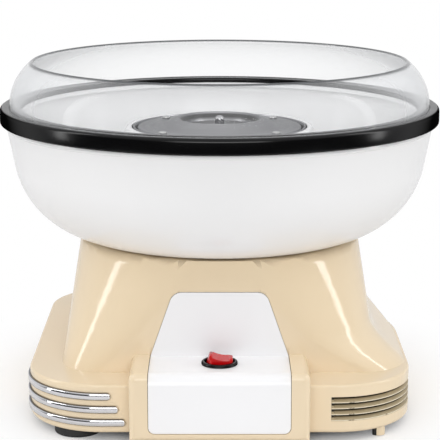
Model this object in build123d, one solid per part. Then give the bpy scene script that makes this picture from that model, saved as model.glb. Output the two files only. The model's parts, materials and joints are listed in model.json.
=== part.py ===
from build123d import *

import math
import os

# Retro table-top cotton candy machine. A cream moulded base carries a white lift-off bowl with a
# black rim ring and a clear splash guard. A motor in the base spins an aluminium sugar head over a
# fixed heater pan, and a round red rocker switch on the front panel turns it on.
# Millimetres. The origin is on the table, on the spindle's axis. +Z is up and -Y is the front.

# ---------------------------------------------------------------- driving dimensions
# Clearances, walls and screws
FIT = 0.05                      # radial clearance of a running or screw fit
PRESS = 0.02                    # clearance drawn between a pressed part and its shaft
SEAM = 0.3                      # gap left round an inset piece
CUT = 1.0                       # how far a cutting tool runs past the face it cuts
WALL = 3.0                      # wall of the moulded base
PLATE = 2.5                     # front panel and bottom cover
SHEET = 1.2                     # pressed metal
M4 = 2.0                        # screw shank radii
M3 = 1.5
M4_HEAD_RADIUS = 3.6
M3_HEAD_RADIUS = 2.8
SCREW_HEAD_HEIGHT = 2.0
SCREW_ROUND = 0.8

# Plinth and pedestal of the base
FOOT_HEIGHT = 6.0
PLINTH_HALF_WIDTH = 125.5
PLINTH_HALF_DEPTH = 124.5
PLINTH_HEIGHT = 32.0
PLINTH_CORNER = 51.0
PLINTH_BOTTOM_ROUND = 2.8
PLINTH_TOP_ROUND = 1.5
LEDGE_SIDE = 21.0               # width of the plinth's top beside the pedestal's foot
LEDGE_FRONT = 27.5
PEDESTAL_HEIGHT = 74.0
PEDESTAL_TOP_HALF_WIDTH = 95.5
PEDESTAL_FOOT_CORNER = 28.0
PEDESTAL_TOP_FLAT = 5.5         # half length of the flats left between the corners at the top
FLARE_HEIGHT = 27.5             # the right side sweeps out to the plinth's edge
FLARE_BLEND = 20.0
FLARE_CORNER_GROWTH = 4.0
DECK_THICKNESS = 3.0
TURRET_HEIGHT = 54.0            # the drum on the deck that carries the heater pan and the motor
LOCATING_RIB = 2.0
LOCATING_RIB_HEIGHT = 4.0
RIB_GAP = 1.2

# Switch box and front panel
BOX_HALF_WIDTH = 57.0
BOX_PROUD = 16.3                # how far the box stands out in front of the plinth
BOX_RISE = 12.0                 # and above its top
BOX_LAP = 17.0                  # and reaches back into the pedestal
BOX_ROUND = 4.5
PANEL_BORDER = 12.2             # cream left on each side of the panel
PANEL_TAPER = 14.8              # how much narrower each side is at the top
PANEL_RISE = 5.2                # from the plinth's underside to the panel's lower edge
PANEL_DROP = 20.5               # from the deck to the panel's upper edge
PANEL_CORNER = 8.0
PANEL_BEND = 8.0
PANEL_SET_BACK = 0.8
PANEL_PROUD = 0.8
PANEL_POCKET = 5.0              # depth cut out of the box for the panel
SKIN_RECESS = 1.5

# Chrome strips on the left front corner, louvres on the right one
STRIP_HEIGHT = 5.0
STRIP_PITCH = 8.7
STRIP_RISE = 7.2                # from the plinth's underside to the lowest strip's centre
STRIP_PROUD = 1.4
STRIP_SINK = 0.6
STRIP_BOX_GAPS = {"lower": 5.3, "middle": 9.7, "upper": 14.6}
SIDE_RUN = 28.5                 # how far strips and louvres run back past the corner
VENT_BOX_GAP = 14.3
VENT_RISE = 8.3
VENT_HEIGHT = 15.8
VENT_SLATS = 4
VENT_POST = 1.5
SLAT_THICKNESS = 1.3
SLAT_SINK = 0.2
SLAT_GAP = 0.9

# Feet, bottom cover and cord gland
FOOT_RADIUS = 15.5
FOOT_ROUND = 1.5
FOOT_INSET = (33.5, 23.5)       # from the plinth's side and from its end
REAR_RIGHT_FOOT_INSET = (55.5, 48.5)
FOOT_BOSS_RADIUS = 5.0
FOOT_BOSS_HEIGHT = 6.0
FOOT_SCREW_HEAD_RADIUS = 4.0
FOOT_SCREW_SEAT = 3.5
POST_INSET = (22.5, 15.5)       # the right front foot is a small post in place of a disc
POST_RADIUS = 4.2
POST_LIFT = 0.6
POST_PLUG_RADIUS = 2.4
POST_PLUG_OFFSET = 1.6
COVER_SCREW_INSET = 21.5
COVER_SCREW_HALF_PITCH = 32.0
REAR_COVER_SCREW_X = 45.0
REAR_COVER_SCREW_INSET = 18.5
COVER_SCREW_LENGTH = 10.0
COVER_SCREW_SINK = 1.2
SCREW_POST_RADIUS = 5.0
SCREW_HOLE_SPARE = 2.0
DRIVER_SLOT = 0.8
AIR_SLOTS = 9
AIR_SLOT_PITCH = 6.0
AIR_SLOT_WIDTH = 2.6
GLAND_X = -40.0
GLAND_RADIUS = 8.0
GLAND_FLANGE = 2.5
GLAND_STEP = 2.0
GLAND_BARB = 0.8
CORD_WIDTH = 5.8                # flat twin cord the gland is made for
CORD_THICKNESS = 3.5
TERMINAL_INSET = 44.5
TERMINAL_HALF_WIDTH = 15.0
TERMINAL_HALF_DEPTH = 8.0
TERMINAL_HEIGHT = 12.0
TERMINAL_PITCH = 9.0
TERMINAL_HOLE = 2.0
TERMINAL_HOLE_DEPTH = 4.0

# Rocker switch, the standard round snap-in kind
SWITCH_SET_BACK = 27.3          # from the box's front to the switch's axis
SWITCH_FLANGE_RADIUS = 11.6
SWITCH_FLANGE = 2.0
SWITCH_ROUND = 1.2
SWITCH_BARREL_RADIUS = 10.1
SWITCH_DEPTH = 21.0
SWITCH_EAR_HALF_WIDTH = 2.2
SWITCH_EAR_RISE = 2.4
SWITCH_EAR_WALL = 0.4
ROCKER_RADIUS = 8.6
ROCKER_TILT = 10.0
ROCKER_GAP = 0.6
ROCKER_HALF_DEPTH = 7.0
ROCKER_DEPTH = 6.5
ROCKER_CROWN = 6.4
ROCKER_DISH = 1.3
ROCKER_SINK = 1.0               # depth of its pin below the panel's shelf
ROCKER_KEEL = 2.6
ROCKER_PIN_RADIUS = 1.0
BLADE_OFFSET = 4.0
BLADE = (0.8, 4.8, 7.0)

# Heater and its pan
HEAD_RUNNING_GAP = 1.1          # round the head inside the pan
COLLAR_LIP = 0.7
COLLAR_RISE = 0.2               # of the collar above the head's brim
PAN_OVERHANG = 1.8
PAN_HOLE_RADIUS = 10.0
PAN_SCREW_INSET = 7.0
PAN_SCREW_HEAD_HEIGHT = 2.2
PAN_SCREW_REACH = 8.0
HEATER_INSET = 14.5
HEATER_TUBE = 3.2
HEATER_RISE = 4.5
HEATER_GAP = 1.1                # from the element's top to the head
HEATER_PIN_RADIUS = 1.5
HEATER_PIN_REACH = 6.0
HEATER_LEAD_ANGLE = 10.0        # of each lead from the front
SADDLE_HALF_LENGTH = 4.5
SADDLE_HALF_WIDTH = 3.0
SADDLE_ANGLES = (30, 150, 240, 300)
BUSH_RADIUS = 3.0
BUSH_FLANGE = 0.8
BUSH_BRIM = 1.2
BUSH_REACH = 2.0
FLANGE_LAP = 4.0                # of the turret's flange inside the heater's circle
SHIELD_THICKNESS = 1.0
SHIELD_GAP = 0.8
SHIELD_HOLE_GAP = 2.0
CUTOUT_X = 34.0
CUTOUT_RADIUS = 8.0
CUTOUT_HEIGHT = 5.0
CUTOUT_STEP_RADIUS = 6.0
CUTOUT_STEP = 4.0

# Motor
STANDOFF_LENGTH = 18.0
STANDOFF_RADIUS = 3.5
MOTOR_LENGTH = 58.0
MOTOR_RADIUS = 23.0
MOTOR_CAN_WALL = 1.5
MOTOR_PLATE = 2.0
PLATE_RIM = 4.0
PLATE_ARM_HALF_WIDTH = 6.0
BEARING_GAP = 1.0
PLATE_SCREW_REACH = 6.0
MOTOR_SCREW_CIRCLE = 15.0
END_CAP = 5.0
END_CAP_STEP = 2.0
END_CAP_FLOOR = 1.0
BEARING_RADIUS = 8.0
BEARING_WIDTH = 5.0
BEARING_RACE = 1.4
BEARING_GROOVE = 0.5
BEARING_SEAT_WALL = 2.0
MAGNET_THICKNESS = 4.8
MAGNET_HALF_GAP = 5.0
MAGNET_OVERLAP = 2.0
AIR_GAP = 1.15                  # between rotor and magnets
ROTOR_FROM_FLOOR = 12.0
ROTOR_FROM_TOP = 20.0
ROTOR_SLOTS = 7
ROTOR_SLOT_DEPTH = 7.0
ROTOR_SLOT_HALF_WIDTH = 1.2
WINDING_HEIGHT = 3.0
WINDING_INSET = 1.5
WINDING_GAP = 2.0
COMMUTATOR_RADIUS = 6.0
COMMUTATOR_GAP = 0.5
SEGMENT_DEPTH = 1.0
SEGMENT_HALF_GAP = 0.25
BRUSH_CARD = 4.0
BRUSH_LENGTH = 8.0
BRUSH_HALF_WIDTH = 2.5
BRUSH_HEIGHT = 5.0

# Spindle and fan
SHAFT_RADIUS = 3.175
SHAFT_TIP = 6.5                 # the shaft's tip above the floor of the sugar well
SHAFT_TAIL = 26.0               # and its lower end below the motor
PIN_RADIUS = 1.5
PIN_HALF_LENGTH = 7.5
PIN_DROP = 3.5                  # below the head's underside
FAN_RADIUS = 32.0
FAN_HEIGHT = 10.0
FAN_BLADES = 7
FAN_PITCH = 35.0
FAN_HUB_RADIUS = 8.0
FAN_HUB_SINK = 2.0
BLADE_WIDTH = 14.0
BLADE_THICKNESS = 1.4

# Sugar head
HEAD_RADIUS = 56.5
HEAD_PLATE = 1.5
HEAD_FLOOR = 2.0
HEAD_GAP = 5.5                  # sugar space between the head's two plates
BRIM_WIDTH = 15.5
CRATER_SLOPE = 10.5
CRATER_RIM = 3.0
CRATER_RISE = 5.5
WELL_SLOPE = 6.0
WELL_DEPTH = 5.0
HUB_RADIUS = 8.0
HUB_DROP = 1.0
HEAD_SCREW_INSET = 5.5
HEAD_SCREW_ANGLE = 41.8
HEAD_SCREW_HEAD_HEIGHT = 1.3
SPACER_WALL = 1.2
SCREEN_INSET = 1.5
SCREEN_THICKNESS = 0.8
SCREEN_BORDER = 1.2
SCREEN_SLOTS = 36
SCREEN_SLOT_HALF_WIDTH = 0.5

# Bowl, rim ring and guard
BOWL_HEIGHT = 88.5              # from the deck to the top of the ring
BOWL_WALL = 2.5
BOWL_FLAT = 7.0                 # width of the flat ring the bowl stands on
BOWL_LEAN = 3.9                 # how far the straight wall leans out above the round underside
BOWL_BEAD = 0.8
BOWL_BEAD_HEIGHT = 3.5
BOWL_FLANGE_HEIGHT = 3.4
BOWL_FLANGE_INSET = 0.6
CONE_SPREAD = 17.5              # from the turret's side to the bowl's seat
CONE_GAP = 1.0                  # round the collar, inside the bowl's hole
CONE_RISE = 0.1
CONE_LIP = 2.3
RING_RADIUS = 150.0
RING_WIDTH = 15.0
RING_HEIGHT = 10.5
RING_PLATE = 3.3
RING_SKIRT = 4.0
RING_TOP_ROUND = 2.5
RING_EDGE_ROUND = 1.2
LIP_GAP = 0.6                   # between the bowl's lip and the ring's skirt
GUARD_INSET = 6.6               # from the ring's edge to the guard's foot
GUARD_WALL = 2.2
GUARD_CURVE = 37.5
GUARD_HEIGHT = 30.7
GUARD_GROOVE = 1.8
GROOVE_GAP = 0.2

# ---------------------------------------------------------------- places worked out from them
# Heights of the base
PLINTH_BOTTOM = FOOT_HEIGHT
PLINTH_TOP = PLINTH_BOTTOM + PLINTH_HEIGHT
DECK_TOP = PLINTH_TOP + PEDESTAL_HEIGHT
DECK_BOTTOM = DECK_TOP - DECK_THICKNESS
TURRET_TOP = DECK_TOP + TURRET_HEIGHT
COVER_TOP = PLINTH_BOTTOM + PLATE
BOX_TOP = PLINTH_TOP + BOX_RISE
PANEL_SHELF = BOX_TOP - PANEL_SET_BACK
PANEL_BOTTOM = PLINTH_BOTTOM + PANEL_RISE
PANEL_TOP = DECK_TOP - PANEL_DROP
VENT_BOTTOM = PLINTH_BOTTOM + VENT_RISE
VENT_TOP = VENT_BOTTOM + VENT_HEIGHT
GLAND_HEIGHT = PLINTH_BOTTOM + PLINTH_HEIGHT / 2
ROCKER_AXIS = PANEL_SHELF - ROCKER_SINK

# Heights of the heater, the head and the spindle
PAN_FLOOR = TURRET_TOP + SHEET
SHIELD_TOP = TURRET_TOP - DECK_THICKNESS
SHIELD_BOTTOM = SHIELD_TOP - SHIELD_THICKNESS
HEATER_HEIGHT = PAN_FLOOR + HEATER_RISE
HEAD_BOTTOM = HEATER_HEIGHT + HEATER_TUBE + HEATER_GAP
HEAD_SPACE_BOTTOM = HEAD_BOTTOM + HEAD_FLOOR
HEAD_SPACE_TOP = HEAD_SPACE_BOTTOM + HEAD_GAP
HEAD_TOP = HEAD_SPACE_TOP + HEAD_PLATE
WELL_FLOOR = HEAD_TOP + CRATER_RISE - WELL_DEPTH
COLLAR_TOP = HEAD_TOP + COLLAR_RISE
PIN_HEIGHT = HEAD_BOTTOM - PIN_DROP
HUB_BOTTOM = PIN_HEIGHT - PIN_RADIUS - HUB_DROP
SHAFT_TOP = WELL_FLOOR + SHAFT_TIP

# Heights of the motor, which hangs from the turret
PLATE_TOP = SHIELD_BOTTOM - STANDOFF_LENGTH
MOTOR_TOP = PLATE_TOP - MOTOR_PLATE
MOTOR_BOTTOM = MOTOR_TOP - MOTOR_LENGTH
END_CAP_BOTTOM = MOTOR_TOP - END_CAP
CARD_BOTTOM = END_CAP_BOTTOM - BRUSH_CARD
ROTOR_BOTTOM = MOTOR_BOTTOM + ROTOR_FROM_FLOOR
ROTOR_TOP = MOTOR_TOP - ROTOR_FROM_TOP
SHAFT_BOTTOM = MOTOR_BOTTOM - SHAFT_TAIL

# Heights of the bowl and its ring
BOWL_BOTTOM = DECK_TOP
RING_TOP = DECK_TOP + BOWL_HEIGHT
RING_BOTTOM = RING_TOP - RING_HEIGHT
LIP_HEIGHT = RING_BOTTOM - BOWL_BEAD_HEIGHT
BOWL_TOP = RING_TOP - RING_PLATE
GUARD_BOTTOM = RING_TOP - GUARD_GROOVE
BOWL_HOLE_TOP = COLLAR_TOP + CONE_RISE

# Plan of the base
PEDESTAL_FOOT_HALF_WIDTH = PLINTH_HALF_WIDTH - LEDGE_SIDE
PEDESTAL_FOOT_HALF_DEPTH = PLINTH_HALF_DEPTH - LEDGE_FRONT
PEDESTAL_TOP_CORNER = PEDESTAL_TOP_HALF_WIDTH - PEDESTAL_TOP_FLAT
BOX_FRONT = PLINTH_HALF_DEPTH + BOX_PROUD
BOX_REAR = PEDESTAL_FOOT_HALF_DEPTH - BOX_LAP
PANEL_FACE = BOX_FRONT - PANEL_SET_BACK
PANEL_HALF_WIDTH = BOX_HALF_WIDTH - PANEL_BORDER
PANEL_TOP_HALF_WIDTH = PANEL_HALF_WIDTH - PANEL_TAPER
SWITCH_Y = SWITCH_SET_BACK - BOX_FRONT
VENT_START = BOX_HALF_WIDTH + VENT_BOX_GAP
SIDE_END = PLINTH_HALF_DEPTH - PLINTH_CORNER - SIDE_RUN
POST_X = PLINTH_HALF_WIDTH - POST_INSET[0]
POST_Y = POST_INSET[1] - PLINTH_HALF_DEPTH
TERMINAL_Y = PLINTH_HALF_DEPTH - TERMINAL_INSET

# Radii from the head outwards
PAN_RADIUS = HEAD_RADIUS + HEAD_RUNNING_GAP + SHEET
COLLAR_RADIUS = PAN_RADIUS + COLLAR_LIP
TURRET_RADIUS = PAN_RADIUS - PAN_OVERHANG
TURRET_BORE = TURRET_RADIUS - WALL - SHIELD_GAP
HEATER_RADIUS = HEAD_RADIUS - HEATER_INSET
TURRET_FLANGE_RADIUS = HEATER_RADIUS - FLANGE_LAP
PAN_SCREW_CIRCLE = TURRET_RADIUS - PAN_SCREW_INSET
HEAD_SCREW_CIRCLE = HEAD_RADIUS - HEAD_SCREW_INSET
CRATER_BASE_RADIUS = HEAD_RADIUS - BRIM_WIDTH
CRATER_RIM_RADIUS = CRATER_BASE_RADIUS - CRATER_SLOPE
WELL_RADIUS = CRATER_RIM_RADIUS - CRATER_RIM
WELL_FLOOR_RADIUS = WELL_RADIUS - WELL_SLOPE
BOWL_HOLE_RADIUS = COLLAR_RADIUS + CONE_GAP
BOWL_SEAT_RADIUS = TURRET_RADIUS + CONE_SPREAD
BOWL_CURVE_CENTRE = BOWL_SEAT_RADIUS + BOWL_FLAT

# Radii from the ring inwards
RING_INNER_RADIUS = RING_RADIUS - RING_WIDTH
BOWL_LIP_RADIUS = RING_RADIUS - RING_SKIRT - LIP_GAP
BOWL_CURVE = BOWL_LIP_RADIUS - BOWL_LEAN - BOWL_CURVE_CENTRE
BOWL_CURVE_HEIGHT = BOWL_BOTTOM + BOWL_CURVE
GUARD_BASE_RADIUS = RING_RADIUS - GUARD_INSET

# Radii inside the motor
CAN_BORE = MOTOR_RADIUS - MOTOR_CAN_WALL - FIT
ROTOR_RADIUS = CAN_BORE - MAGNET_THICKNESS - AIR_GAP


# ---------------------------------------------------------------- shared shapes
def turned(*edges):
    """A solid turned about the spindle axis from a closed half section (radius, height)."""
    return revolve(Plane.XZ * make_face(Curve() + list(edges)), Axis.Z)


def turned_points(*points):
    return turned(Polyline(*points, close=True))


def tube(outer, inner, low, high):
    """A ring standing from one height to another, solid when the inner radius is 0."""
    ring = Circle(outer)
    if inner > 0:
        ring -= Circle(inner)
    return extrude(Plane.XY.offset(low) * ring, high - low)


def peg(radius, x, y, low, high):
    return Pos(x, y, 0) * tube(radius, 0, low, high)


def block(x0, x1, y0, y1, z0, z1):
    centre = ((x0 + x1) / 2, (y0 + y1) / 2, (z0 + z1) / 2)
    return Pos(*centre) * Box(x1 - x0, y1 - y0, z1 - z0)


def round_places(radius, count, start=0.0):
    """Evenly spaced points on a circle about the axis."""
    angles = [math.radians(start + 360 * index / count) for index in range(count)]
    return [(radius * math.cos(angle), radius * math.sin(angle)) for angle in angles]


def outline(left, right, front, rear, front_left, front_right, rear_right, rear_left):
    """A rounded rectangle with its own radius at each corner, as a face."""
    edges = [
        Line((-left + front_left, -front), (right - front_right, -front)),
        CenterArc((right - front_right, front_right - front), front_right, -90, 90),
        Line((right, front_right - front), (right, rear - rear_right)),
        CenterArc((right - rear_right, rear - rear_right), rear_right, 0, 90),
        Line((right - rear_right, rear), (-left + rear_left, rear)),
        CenterArc((rear_left - left, rear - rear_left), rear_left, 90, 90),
        Line((-left, rear - rear_left), (-left, front_left - front)),
        CenterArc((front_left - left, front_left - front), front_left, 180, 90),
    ]
    return make_face(Curve() + edges)


# ---------------------------------------------------------------- base
def plinth_face(outset=0.0):
    """Plan of the plinth: three tight corners, and a right rear corner drawn in to a quarter
    round about the spindle."""
    corner = PLINTH_CORNER + outset
    return outline(
        PLINTH_HALF_WIDTH + outset,
        PLINTH_HALF_WIDTH + outset,
        PLINTH_HALF_DEPTH + outset,
        PLINTH_HALF_DEPTH + outset,
        corner,
        corner,
        PLINTH_HALF_DEPTH + outset,
        corner,
    )


def plinth_block(outset, low, high):
    return extrude(Plane.XY.offset(low) * plinth_face(outset), high - low)


def flare(height):
    """How far the right wall stands out at a height above the plinth's top."""
    drop = FLARE_HEIGHT - height
    if drop <= 0:
        return 0.0
    turn = FLARE_BLEND * math.sin(math.radians(45))
    if drop < turn:
        return FLARE_BLEND - math.sqrt(FLARE_BLEND**2 - drop**2)
    return FLARE_BLEND - turn + drop - turn


def pedestal_face(height, outset=0.0):
    """Plan of the pedestal at a height above the plinth's top: a rounded square at the foot,
    nearly round under the bowl."""
    share = height / PEDESTAL_HEIGHT
    half = PEDESTAL_FOOT_HALF_WIDTH + share * (PEDESTAL_TOP_HALF_WIDTH - PEDESTAL_FOOT_HALF_WIDTH)
    top_depth = PEDESTAL_TOP_HALF_WIDTH
    depth = PEDESTAL_FOOT_HALF_DEPTH + share * (top_depth - PEDESTAL_FOOT_HALF_DEPTH)
    corner = PEDESTAL_FOOT_CORNER + share * (PEDESTAL_TOP_CORNER - PEDESTAL_FOOT_CORNER)
    spread = flare(height) / flare(0.0)
    rear_right = corner + spread * (depth - 1.0 - corner)
    return outline(
        half + outset,
        half + flare(height) + outset,
        depth + outset,
        depth + outset,
        corner + outset,
        corner + FLARE_CORNER_GROWTH * spread + outset,
        rear_right + outset,
        corner + outset,
    )


def pedestal_block(outset=0.0, height=PEDESTAL_HEIGHT):
    """The pedestal in two lofts: a smooth one where the right side flares, a straight one above."""
    steps = [share * FLARE_HEIGHT for share in (0.0, 0.22, 0.45, 0.72, 1.0)] + [height]
    sections = [Plane.XY.offset(PLINTH_TOP + step) * pedestal_face(step, outset) for step in steps]
    return loft(sections[:-1]) + loft(sections[-2:])


def box_block(inset=0.0):
    """The switch box that stands out of the pedestal and plinth at the front."""
    half = BOX_HALF_WIDTH - inset
    low = PLINTH_BOTTOM + inset
    body = block(-half, half, inset - BOX_FRONT, -BOX_REAR, low, BOX_TOP - inset)
    if inset > 0:
        return body
    front = body.faces().sort_by(Axis.Y)[0]
    sides = body.edges().filter_by(Axis.Y).group_by(Axis.Z)[-1]
    return fillet(list(front.edges()) + list(sides), BOX_ROUND)


def panel_outline(outset=0.0):
    """Front view of the panel's upper part: a trapezoid with round upper corners."""
    low = PANEL_SHELF - PLATE
    points = [
        (-PANEL_HALF_WIDTH - outset, low),
        (PANEL_HALF_WIDTH + outset, low),
        (PANEL_HALF_WIDTH + outset, PANEL_SHELF),
        (PANEL_TOP_HALF_WIDTH + outset, PANEL_TOP + outset),
        (-PANEL_TOP_HALF_WIDTH - outset, PANEL_TOP + outset),
        (-PANEL_HALF_WIDTH - outset, PANEL_SHELF),
    ]
    face = make_face(Polyline(*points, close=True))
    corners = face.vertices().group_by(Axis.Y)[-1]
    return fillet(corners, PANEL_CORNER + outset)


def panel_upper_prism(outset=0.0):
    return extrude(Plane.XZ * panel_outline(outset), BOX_FRONT)


def panel_bent_plate(outset=0.0, deeper=0.0):
    """Shelf and front face of the panel, one plate bent over the top of the box."""
    face = PANEL_FACE + deeper
    top = PANEL_SHELF + deeper
    low = PANEL_BOTTOM - outset
    rear = -PEDESTAL_FOOT_HALF_DEPTH + SKIN_RECESS
    half = PANEL_HALF_WIDTH + outset
    side_view = make_face(
        Polyline(
            (-face, low),
            (-face, top),
            (rear, top),
            (rear, PANEL_SHELF - PLATE),
            (-PANEL_FACE + PLATE, PANEL_SHELF - PLATE),
            (-PANEL_FACE + PLATE, low),
            close=True,
        )
    )
    plate = extrude(Plane.YZ.offset(-half) * side_view, 2 * half)
    lines = plate.edges().filter_by(Axis.X)
    plate = fillet(lines.sort_by(lambda e: e.center().Y - e.center().Z)[0], PANEL_BEND + deeper)
    inside = Vector(0, PLATE - PANEL_FACE, PANEL_SHELF - PLATE)
    lines = plate.edges().filter_by(Axis.X)
    plate = fillet(lines.sort_by_distance(inside)[0], PANEL_BEND - PLATE)
    foot = plate.edges().filter_by(Axis.Y).group_by(Axis.Z)[0]
    return fillet(foot, PANEL_CORNER / 2 + outset)


def front_panel():
    skin = pedestal_block(PANEL_PROUD) - pedestal_block(-SKIN_RECESS)
    upper = skin & panel_upper_prism()
    panel = upper + panel_bent_plate()
    return panel - peg(SWITCH_BARREL_RADIUS + FIT, 0, SWITCH_Y, 0, BOX_TOP)


def corner_path(side, front_end):
    """The plinth's outline round a front corner: side is 1 for the right and -1 for the left."""
    centre = (side * (PLINTH_HALF_WIDTH - PLINTH_CORNER), PLINTH_CORNER - PLINTH_HALF_DEPTH)
    front = Line((side * front_end, -PLINTH_HALF_DEPTH), (centre[0], -PLINTH_HALF_DEPTH))
    arc = CenterArc(centre, PLINTH_CORNER, -90, 90 * side)
    flank = Line((side * PLINTH_HALF_WIDTH, centre[1]), (side * PLINTH_HALF_WIDTH, -SIDE_END))
    return Wire([front.edge(), arc.edge(), flank.edge()])


def swept_round_corner(side, front_end, section):
    """Sweeps a section of (outwards, height) points round a front corner of the plinth."""
    points = [(side * front_end, -PLINTH_HALF_DEPTH - out, height) for out, height in section]
    face = make_face(Polyline(*points, close=True))
    return sweep(face, corner_path(side, front_end))


def strip_shape(name, outset=0.0):
    """A trim strip with half-round ends, wrapped round the left front corner."""
    step = list(STRIP_BOX_GAPS).index(name)
    height = PLINTH_BOTTOM + STRIP_RISE + STRIP_PITCH * step
    front_end = BOX_HALF_WIDTH + STRIP_BOX_GAPS[name]
    half = STRIP_HEIGHT / 2 + outset
    low = -STRIP_SINK
    section = [
        (low, height - half),
        (STRIP_PROUD, height - half),
        (STRIP_PROUD, height + half),
        (low, height + half),
    ]
    strip = swept_round_corner(-1, front_end, section)
    end = Cylinder(half, STRIP_PROUD + STRIP_SINK)
    middle = (STRIP_PROUD - STRIP_SINK) / 2
    strip += Pos(-front_end, -PLINTH_HALF_DEPTH - middle, height) * Rot(90, 0, 0) * end
    strip += Pos(-PLINTH_HALF_WIDTH - middle, -SIDE_END, height) * Rot(0, 90, 0) * end
    return strip


def vent_opening():
    """The opening for the louvres, a seam wider than they are above and below."""
    low = VENT_BOTTOM - SEAM / 2
    high = VENT_TOP + SEAM / 2
    section = [(-WALL - CUT, low), (CUT, low), (CUT, high), (-WALL - CUT, high)]
    return swept_round_corner(1, VENT_START - SEAM / 2, section)


def vent_grille():
    """Louvred insert: sloping slats between two end posts, tied by upright ribs behind."""
    pitch = (VENT_TOP - VENT_BOTTOM) / VENT_SLATS
    rise = pitch - SLAT_GAP
    grille = None
    for index in range(VENT_SLATS):
        low = VENT_BOTTOM + index * pitch
        section = [
            (-SLAT_SINK, low),
            (-SLAT_SINK, low + SLAT_THICKNESS),
            (-WALL + SLAT_SINK, low + rise),
            (-WALL + SLAT_SINK, low + rise - SLAT_THICKNESS),
        ]
        slat = swept_round_corner(1, VENT_START, section)
        grille = slat if grille is None else grille + slat
    end = [
        (-WALL, VENT_BOTTOM),
        (-SLAT_SINK, VENT_BOTTOM),
        (-SLAT_SINK, VENT_TOP),
        (-WALL, VENT_TOP),
    ]
    front_post = [(VENT_START, -PLINTH_HALF_DEPTH - out, height) for out, height in end]
    grille += extrude(make_face(Polyline(*front_post, close=True)), VENT_POST, dir=(1, 0, 0))
    side_post = [(PLINTH_HALF_WIDTH + out, -SIDE_END, height) for out, height in end]
    grille += extrude(make_face(Polyline(*side_post, close=True)), VENT_POST, dir=(0, -1, 0))
    centre_x = PLINTH_HALF_WIDTH - PLINTH_CORNER
    centre_y = PLINTH_CORNER - PLINTH_HALF_DEPTH
    inner = PLINTH_CORNER - WALL
    half = VENT_POST / 2
    for angle in (-67.5, -45.0, -22.5):
        rib = block(inner - half, inner + half, -half, half, VENT_BOTTOM, VENT_TOP)
        grille += Pos(centre_x, centre_y, 0) * Rot(0, 0, angle) * rib
    return grille


def cover_screw_places():
    x = PLINTH_HALF_WIDTH - COVER_SCREW_INSET
    y = COVER_SCREW_HALF_PITCH
    rear = PLINTH_HALF_DEPTH - REAR_COVER_SCREW_INSET
    sides = [(-x, -y), (x, -y), (-x, y), (x, y)]
    return sides + [(-REAR_COVER_SCREW_X, rear), (REAR_COVER_SCREW_X, rear)]


def foot_places():
    x = PLINTH_HALF_WIDTH - FOOT_INSET[0]
    y = PLINTH_HALF_DEPTH - FOOT_INSET[1]
    rear_right_x = PLINTH_HALF_WIDTH - REAR_RIGHT_FOOT_INSET[0]
    rear_right_y = PLINTH_HALF_DEPTH - REAR_RIGHT_FOOT_INSET[1]
    return [(-x, -y), (-x, y), (rear_right_x, rear_right_y)]


def base_housing():
    """Plinth, pedestal, switch box and turret in one moulding, open below."""
    plinth = plinth_block(0, PLINTH_BOTTOM, PLINTH_TOP)
    plinth = fillet(plinth.faces().sort_by(Axis.Z)[0].edges(), PLINTH_BOTTOM_ROUND)
    plinth = fillet(plinth.faces().sort_by(Axis.Z)[-1].edges(), PLINTH_TOP_ROUND)
    outer = plinth + pedestal_block() + box_block()
    hollow = plinth_block(-WALL, PLINTH_BOTTOM - CUT, PLINTH_TOP - WALL)
    inner = pedestal_block(-WALL, PEDESTAL_HEIGHT - DECK_THICKNESS)
    neck = extrude(Plane.XY.offset(PLINTH_TOP - WALL) * pedestal_face(0, -WALL), WALL)
    hollow += inner + neck + box_block(WALL)
    housing = outer - hollow
    for x, y in cover_screw_places():
        housing += peg(SCREW_POST_RADIUS, x, y, COVER_TOP, BOX_TOP) & outer
    housing += tube(TURRET_RADIUS, 0, DECK_BOTTOM, TURRET_TOP)
    housing -= tube(TURRET_RADIUS - WALL, 0, PLINTH_TOP, SHIELD_TOP)
    housing -= tube(TURRET_FLANGE_RADIUS, 0, PLINTH_TOP, TURRET_TOP + CUT)
    rib_outer = BOWL_SEAT_RADIUS - RIB_GAP
    housing += tube(rib_outer, rib_outer - LOCATING_RIB, DECK_TOP, DECK_TOP + LOCATING_RIB_HEIGHT)
    housing -= panel_upper_prism(SEAM) - pedestal_block(-SKIN_RECESS)
    housing -= panel_bent_plate(SEAM, PANEL_POCKET)
    housing -= peg(SWITCH_BARREL_RADIUS + SEAM, 0, SWITCH_Y, PLINTH_TOP, BOX_TOP)
    for name in STRIP_BOX_GAPS:
        housing -= strip_shape(name, SEAM)
    housing -= vent_opening()
    for x, y in cover_screw_places():
        housing -= peg(M4 + FIT, x, y, 0, COVER_TOP + COVER_SCREW_LENGTH + SCREW_HOLE_SPARE)
    for x, y in pan_screw_places():
        housing -= peg(M4 + FIT, x, y, DECK_TOP, TURRET_TOP + CUT)
    for x, y in heater_lead_places():
        housing -= peg(BUSH_RADIUS + FIT, x, y, DECK_TOP, TURRET_TOP + CUT)
    gland_hole = Rot(90, 0, 0) * Cylinder(GLAND_RADIUS - GLAND_STEP + FIT, 4 * WALL)
    housing -= Pos(GLAND_X, PLINTH_HALF_DEPTH, GLAND_HEIGHT) * gland_hole
    housing -= peg(POST_RADIUS + SEAM, POST_X, POST_Y, 0, COVER_TOP)
    return housing


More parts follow.
